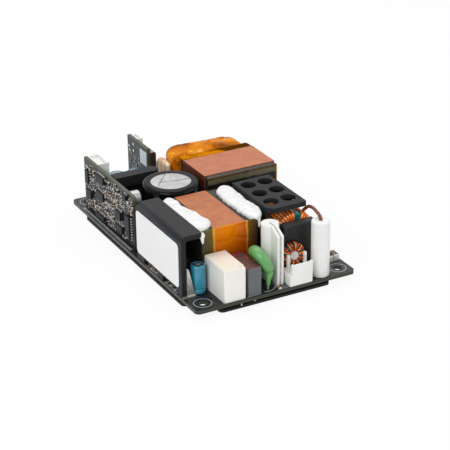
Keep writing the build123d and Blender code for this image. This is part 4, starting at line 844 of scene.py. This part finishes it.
core = ring_centre("filter_choke_core")
filter_wire = 0.42
ring = (3.6 - filter_wire, 7.1 + filter_wire, 3.8 + filter_wire)
path = wound(core, ring, 290, 320, 30, inner_extra=0.5)
curve_piece("filter_choke_wire", [path], filter_wire, copper_wire, "copper_wire", ("filter_choke_winding",))
print("chokes wound")

# %% [markdown]
# A stranded lead runs from the line choke over to the right fuse. It is a loose bundle of
# thin strands, six round one, each a curve that twists slowly round the lead's middle line.
# That line is a smooth spline, led by a few given points.

# %% Stranded lead
low, high = box_mm("choke_lead")
fuse_x, fuse_y = 23.1, -58.9
lead_top = high[2] - 0.8
middle = [
    (fuse_x, fuse_y, lead_top - 3.6),
    (fuse_x, fuse_y + 0.1, lead_top - 1.2),
    (fuse_x + 0.3, fuse_y + 1.4, lead_top - 0.1),
    (fuse_x + 1.2, fuse_y + 6.5, lead_top),
    (25.0, -50.8, lead_top - 0.3),
    (25.4, -47.0, lead_top - 0.7),
    (24.8, -45.2, lead_top - 1.2),
    (23.6, -43.6, TOP / MM + 23.3),
]
print("lead box, mm:", [[round(value, 1) for value in corner] for corner in (low, high)])
guide = bpy.data.curves.new("guide", "CURVE")
guide.dimensions = "3D"
spline = guide.splines.new("NURBS")
spline.points.add(len(middle) - 1)
for point, place in zip(spline.points, middle):
    point.co = (*place, 1)
spline.order_u = 3
spline.use_endpoint_u = True
spline.resolution_u = 8
guide_object = bpy.data.objects.new("guide", guide)
line = [vertex.co.copy() for vertex in bpy.data.meshes.new_from_object(guide_object).vertices]
bpy.data.objects.remove(guide_object)
around, spacing, twist, strand_radius = 6, 0.5, 0.12, 0.26
strands = []
for number in range(around + 1):
    strand = []
    reach = spacing if number < around else 0
    for place, point in enumerate(line):
        ahead = line[min(place + 1, len(line) - 1)] - line[max(place - 1, 0)]
        side = ahead.cross(Vector((0.3, 0.2, 1))).normalized()
        other = ahead.cross(side).normalized()
        turn = 2 * math.pi * number / around + twist * place
        strand.append(point + reach * (math.cos(turn) * side + math.sin(turn) * other))
    strands.append(strand)
curve_piece("stranded_lead", strands, strand_radius, brown_wire, "brown_wire", ("choke_lead",))
print("strands:", len(strands), "of", len(line), "points")

# %% [markdown]
# Between the big parts a power supply is full of small print: white ink outlines round the
# parts and rings round the mounting holes. A can has score lines on top, where it is made
# to open under pressure. All are thin ribbons with real thickness, which stay sharp from
# any distance. A painted pattern at this scale would not.

# %% Ink and score lines
ink = finish("board_ink", tone(206, 208, 206), rough=0.5, drift=0.2, drift_scale=900)
score = finish("score_line", tone(96, 96, 98), rough=0.5, drift=0.2, drift_scale=900)


ribbon_lift, ribbon_thickness = 0.05, 0.07


def ribbons(name, paths, width, material, slot, normal=(0, 0, 1)):
    """Flat lines of one width along paths in millimetres, lying on a surface with this normal."""
    form = bmesh.new()
    out = Vector(normal)
    for path in paths:
        points = [Vector(place) * MM for place in path]
        closed = (points[0] - points[-1]).length < 1e-6
        ahead, behind = (points[-2], points[1]) if closed else (points[0], points[-1])
        chain = [ahead, *points, behind]
        rows = []
        for before, point, after in zip(chain, points, chain[2:]):
            side = out.cross(after - before).normalized() * width * MM / 2
            rows.append([form.verts.new(point + out * ribbon_lift * MM + way * side) for way in (1, -1)])
        for first, second in zip(rows, rows[1:]):
            form.faces.new((first[0], first[1], second[1], second[0]))
    thicken(settle(name, mesh_of(form, name), material, slot), ribbon_thickness, offset=-1)


level = TOP / MM
arc_steps = 40


def arc(centre, radius, first=0, last=360):
    """A round line on the main board, from one angle to another in degrees."""
    line = []
    for step in range(arc_steps + 1):
        angle = math.radians(first + (last - first) * step / arc_steps)
        line.append((centre[0] + radius * math.cos(angle), centre[1] + radius * math.sin(angle), level))
    return line


def frame_line(left, front, right_side, back):
    """A rectangle on the main board."""
    corners = [(left, front), (right_side, front), (right_side, back), (left, back), (left, front)]
    return [(x, y, level) for x, y in corners]


hole_x, hole_y = 32.385, 57.785
outlines = [arc((x, y), 3.8) for x in (-hole_x, hole_x) for y in (-hole_y, hole_y)]
outlines += [arc((-3.4, -57.4), 4.7, -118, 30), [(-14.1, -62.5, level), (-7.2, -62.4, level)]]
outlines += [frame_line(-37.5, front, -35.9, front + length) for front, length in
             ((-16.5, 4.2), (-23.5, 5.6), (-31.0, 6.0), (-38.5, 5.4), (-45.0, 4.6))]
outlines += [[(x, 1.0, level), (x, 52.0, level)] for x in (-36.5, -37.2)]
outlines += [
    frame_line(25.6, -59.0, 29.6, -55.2),
    frame_line(27.6, -43.0, 34.2, -39.2),
    frame_line(27.8, -36.4, 34.0, -30.4),
    frame_line(2.4, -62.6, 9.8, -61.0),
]
ribbons("ink_outlines", outlines, 0.22, ink, "board")
can_top = box_mm("bulk_can")[1][2]
bulk_scores = [[(-13.3, 13.6, can_top), (-22.1, 2.8, can_top)], [(-20.4, 6.1, can_top), (-6.4, 3.5, can_top)]]
ribbons("can_scores", bulk_scores, 0.3, score, "can")
can_low, can_high = box_mm("aux_can")
middle_x, middle_y, can_top = (can_low[0] + can_high[0]) / 2, (can_low[1] + can_high[1]) / 2, can_high[2]
half_score, lean = 1.6, 0.5
ribbons("aux_scores", [
    [(middle_x - half_score, middle_y - lean, can_top), (middle_x + half_score, middle_y + lean, can_top)],
    [(middle_x + lean, middle_y - half_score, can_top), (middle_x - lean, middle_y + half_score, can_top)],
], 0.28, can_metal, "can")
print("ink outlines:", len(outlines))

# %% [markdown]
# The two upright boards carry far more small parts than the CAD model lists. They are
# scattered with a seeded random generator, but only on free places: a ray sent at the
# board from outside must meet the board itself before any chip. Placing each part by hand
# would follow the real board more closely, at the price of a very long table.

# %% Free places on the upright boards
dice = random.Random(41)
taken = bmesh.new()
for name in "control_chips chip_parts chip_leads chip_ends device_bodies output_cans".split():
    taken.from_mesh(nodes[name].data)
obstacles = BVHTree.FromBMesh(taken)
taken.free()
ray_start, ray_length = 6, 7.5


def free_spot(face_x, y, z, wide, tall):
    """True if nothing stands on this place of a board face that looks to the left."""
    for aside in (-0.5, 0, 0.5):
        for above in (-0.5, 0, 0.5):
            start = Vector((face_x - ray_start, y + aside * wide, z + above * tall)) * MM
            if obstacles.ray_cast(start, Vector((1, 0, 0)), ray_length * MM)[0] is not None:
                return False
    return True


def boxes(name, corners, material, slot):
    """One piece made of many small boxes, each given by its lowest and highest corner."""
    form = bmesh.new()
    for low_corner, high_corner in corners:
        size = Vector(high_corner) - Vector(low_corner)
        middle = (Vector(low_corner) + Vector(high_corner)) / 2
        shape = Matrix.Translation(middle * MM) @ Matrix.Diagonal((*(size * MM), 1))
        bmesh.ops.create_cube(form, size=1, matrix=shape)
    settle(name, mesh_of(form, name), material, slot)


output_face = box_mm("output_board")[0][0]
control_face = box_mm("control_board")[0][0]
print("faces of the upright boards, x in mm:", round(control_face, 1), round(output_face, 1))

# %% [markdown]
# Each small part is a tiny body between two bright ends, like a real chip resistor, and
# lies along its longer side. A place is drawn by chance and kept only if it is free and
# clear of the parts before it. The larger marks, such as the pale block, the test dots and
# the solder pads, are placed one by one.

# %% Small parts on the upright boards
part_grey = finish("part_grey", tone(58, 58, 60), rough=0.5, drift=0.2)
part_brown = finish("part_brown", tone(150, 112, 76), rough=0.45, drift=0.2)
block_white = finish("block_white", tone(204, 214, 222), rough=0.45, drift=0.04)
grey_parts, brown_parts, ends = [], [], []
sunk, end_reach, end_proud, clearance, margin = 0.05, 0.3, 0.03, 0.25, 1.2
tries_per_part = 12


def small_part(face_x, y, z, wide, tall, thick, brown):
    """A tiny body with bright ends, lying along its longer side."""
    body = ((face_x - thick, y - wide / 2, z - tall / 2), (face_x + sunk, y + wide / 2, z + tall / 2))
    (brown_parts if brown else grey_parts).append(body)
    near_x, far_x = face_x - thick - end_proud, face_x + sunk
    for way in (-1, 1):
        if wide > tall:
            inner, outer = sorted((y + way * wide / 2, y + way * (wide / 2 + end_reach)))
            ends.append(((near_x, inner, z - tall / 2), (far_x, outer, z + tall / 2)))
        else:
            inner, outer = sorted((z + way * tall / 2, z + way * (tall / 2 + end_reach)))
            ends.append(((near_x, y - wide / 2, inner), (far_x, y + wide / 2, outer)))


def scatter(board, count, sizes, brown_share, placed):
    """Puts parts on a board's free places, clear of the middles and half sizes in placed."""
    low_corner, high_corner = box_mm(board)
    face_x, done = low_corner[0], 0
    for attempt in range(count * tries_per_part):
        wide, tall = dice.choice(sizes)
        y = dice.uniform(low_corner[1] + margin, high_corner[1] - margin)
        z = dice.uniform(low_corner[2] + 1.4, high_corner[2] - margin)
        brown = dice.random() < brown_share
        reach_y, reach_z = wide / 2 + 0.35, tall / 2 + 0.35
        near = any(abs(y - other_y) < reach_y + half_y + clearance
                   and abs(z - other_z) < reach_z + half_z + clearance
                   for other_y, other_z, half_y, half_z in placed)
        if near or not free_spot(face_x, y, z, 2 * reach_y, 2 * reach_z):
            continue
        small_part(face_x, y, z, wide, tall, dice.uniform(0.25, 0.45), brown)
        placed.append((y, z, reach_y, reach_z))
        done += 1
        if done == count:
            break
    return done


block = ((output_face - 0.5, 41.6, level + 18.8), (output_face + sunk, 48.2, level + 25.4))
boxes("pale_block", [block], block_white, "label")
block_place = (44.9, level + 22.1, 3.9, 3.7)
sizes = [(0.9, 0.5), (0.5, 0.9), (1.3, 0.7), (0.7, 1.3), (0.8, 0.4), (0.4, 0.8)]
counts = [
    scatter("control_board", 84, sizes, 0.3, []),
    scatter("output_board", 12, sizes[:2], 0.2, [block_place]),
]
tin_dots = [
    ((output_face - 0.35, y - 0.5, level + z - 0.5), (output_face + sunk, y + 0.5, level + z + 0.5))
    for y, z in ((60.3, 22.6), (55.6, 24.9), (59.7, 20.7), (55.6, 21.7))
]
pad_places = [
    (49.6, 21.4), (49.4, 19.0), (47.0, 20.6), (46.8, 18.2), (50.4, 16.0), (30.2, 13.6), (30.0, 11.2),
    (29.6, 8.8), (30.4, 6.2), (22.6, 21.0), (12.6, 18.4), (9.4, 4.6), (6.2, 20.6), (38.6, 21.6),
    (18.4, 5.0), (41.8, 4.2),
]
pad_wide, pad_tall = 1.1, 0.9
pads = [
    ((control_face - 0.3, y - pad_wide / 2, level + z - pad_tall / 2),
     (control_face + sunk, y + pad_wide / 2, level + z + pad_tall / 2))
    for y, z in pad_places if free_spot(control_face, y, level + z, pad_wide, pad_tall)
]
boxes("tiny_grey_parts", grey_parts, part_grey, "chip_body")
boxes("tiny_brown_parts", brown_parts, part_brown, "chip_body")
boxes("tiny_part_ends", ends + tin_dots + pads, bright_tin, "tinned")
print("small parts placed on the two boards:", counts)

# %% [markdown]
# Parts with wires are soldered from below, and their cut ends stay as short tails under
# the board. Two of them can be seen under the front edge.

# %% Pin tails under the front edge
board_low = box_mm("main_board")[0][2]
tail_top, tail_end, tail_radius = board_low + 0.1, board_low - 1.2, 0.32
tails = [[(x, y, tail_top), (x, y, tail_end)] for x, y in ((-16.8, -62.5), (-10.4, -61.9))]
curve_piece("pin_tails", tails, tail_radius, bright_tin, "tinned")
print("pin tails:", len(tails))

# %% [markdown]
# The upright boards are printed too. Short ink lines and small frames are drawn by chance
# on free places, which gives the busy look of a placement print without any lettering.

# %% Ink on the upright boards
marks = []
for board, count in (("control_board", 40), ("output_board", 18)):
    low_corner, high_corner = box_mm(board)
    x = low_corner[0]
    for number in range(count):
        y = dice.uniform(low_corner[1] + 1.5, high_corner[1] - 3.5)
        z = dice.uniform(low_corner[2] + 2, high_corner[2] - 2)
        long, tall = dice.choice([(1.8, 0), (1.2, 0), (0, 1.4), (2.2, 1.2)])
        if free_spot(x, y + long / 2, z + tall / 2, long, tall):
            spots = [(y, z), (y + long, z), (y + long, z + tall), (y, z + tall), (y, z)]
            if not (long and tall):
                spots = [spots[0], spots[2]]
            marks.append([(x, *spot) for spot in spots])
ribbons("upright_ink", marks, 0.16, ink, "board", normal=(-1, 0, 0))
print("ink marks on the upright boards:", len(marks))

# %% [markdown]
# The perforated cover is open below, and through its holes one would look straight past
# the chokes to the bright table. A thin dark sheet on its side is painted shade that keeps
# the inside dark. A last amber film on the transformer's back hides the bare ferrite
# between the copper band and the winding.

# %% Shade sheet in the cover and rear film
cover_low, cover_high = box_mm("choke_cover")
# A dark sheet inside the cover's side: painted shade.
sheet_inner, sheet_outer = cover_high[0] - 0.75, cover_high[0] - 0.45
sheet_low = (sheet_inner, cover_low[1] + 11, level + 1.0)
sheet_high = (sheet_outer, cover_high[1] - 0.4, cover_high[2] - 1.2)
boxes("cover_shade_sheet", [(sheet_low, sheet_high)], cover_plastic, "black_cover")
rear_tape = finish("rear_tape", tone(206, 126, 4), rough=0.15, drift_scale=60, grain=260, bump=0.1,
                   specular=0.0, second=tone(84, 48, 4), blend_at=(0.42, 0.52))
band_back = box_mm("transformer_band")[1][1]
core_back, core_top, film_columns = core_high[1], core_high[2], 40
profile = [
    (band_back - 0.1, core_top + 0.34), (band_back + 0.5, core_top + 0.12), (core_back + 0.2, core_top + 0.1),
    (core_back + 1.6, core_top - 0.1), (core_back + 3.2, core_top - 0.6),
]
rows = []
for y, z in profile:
    row = []
    for step in range(film_columns + 1):
        x = core_low[0] + (core_high[0] - core_low[0]) * step / film_columns
        row.append((x, y, z + 0.1 * noise.noise(Vector((step * 0.3, y * 0.4, 3)))))
    rows.append(row)
tape_sheet("rear_film", rows, rear_tape, 0.06)
print("cover sheet and rear film added")

# %% [markdown]
# Sheet metal, mouldings and tape never end in a mathematically sharp edge. A narrow bevel
# lets each edge catch a thin line of light. The exported mesh has split corners, so they
# are welded first, and only edges sharper than forty degrees are cut.

# %% Soft edges
edge_widths = {
    "relay": 0.3, "film_capacitor": 0.15, "mains_heatsink": 0.2, "bar_heatsink": 0.2, "choke_cover": 0.22,
    "box_capacitor": 0.2, "transformer_core": 0.2, "pfc_choke_core": 0.2, "base_plate": 0.2,
    "input_connector": 0.15, "output_connector": 0.15, "fuse_holder_left": 0.12, "fuse_holder_right": 0.12,
    "transformer_band": 0.1, "pfc_choke_band": 0.1,
}
for name, width in edge_widths.items():
    weld = nodes[name].modifiers.new("weld", "WELD")
    weld.merge_threshold = 0.001 * MM
    bevel = nodes[name].modifiers.new("soft_edges", "BEVEL")
    bevel.width = width * MM
    bevel.segments = 2
    bevel.limit_method = "ANGLE"
    bevel.angle_limit = math.radians(40)
    bevel.harden_normals = True
print("solids with soft edges:", len(edge_widths))
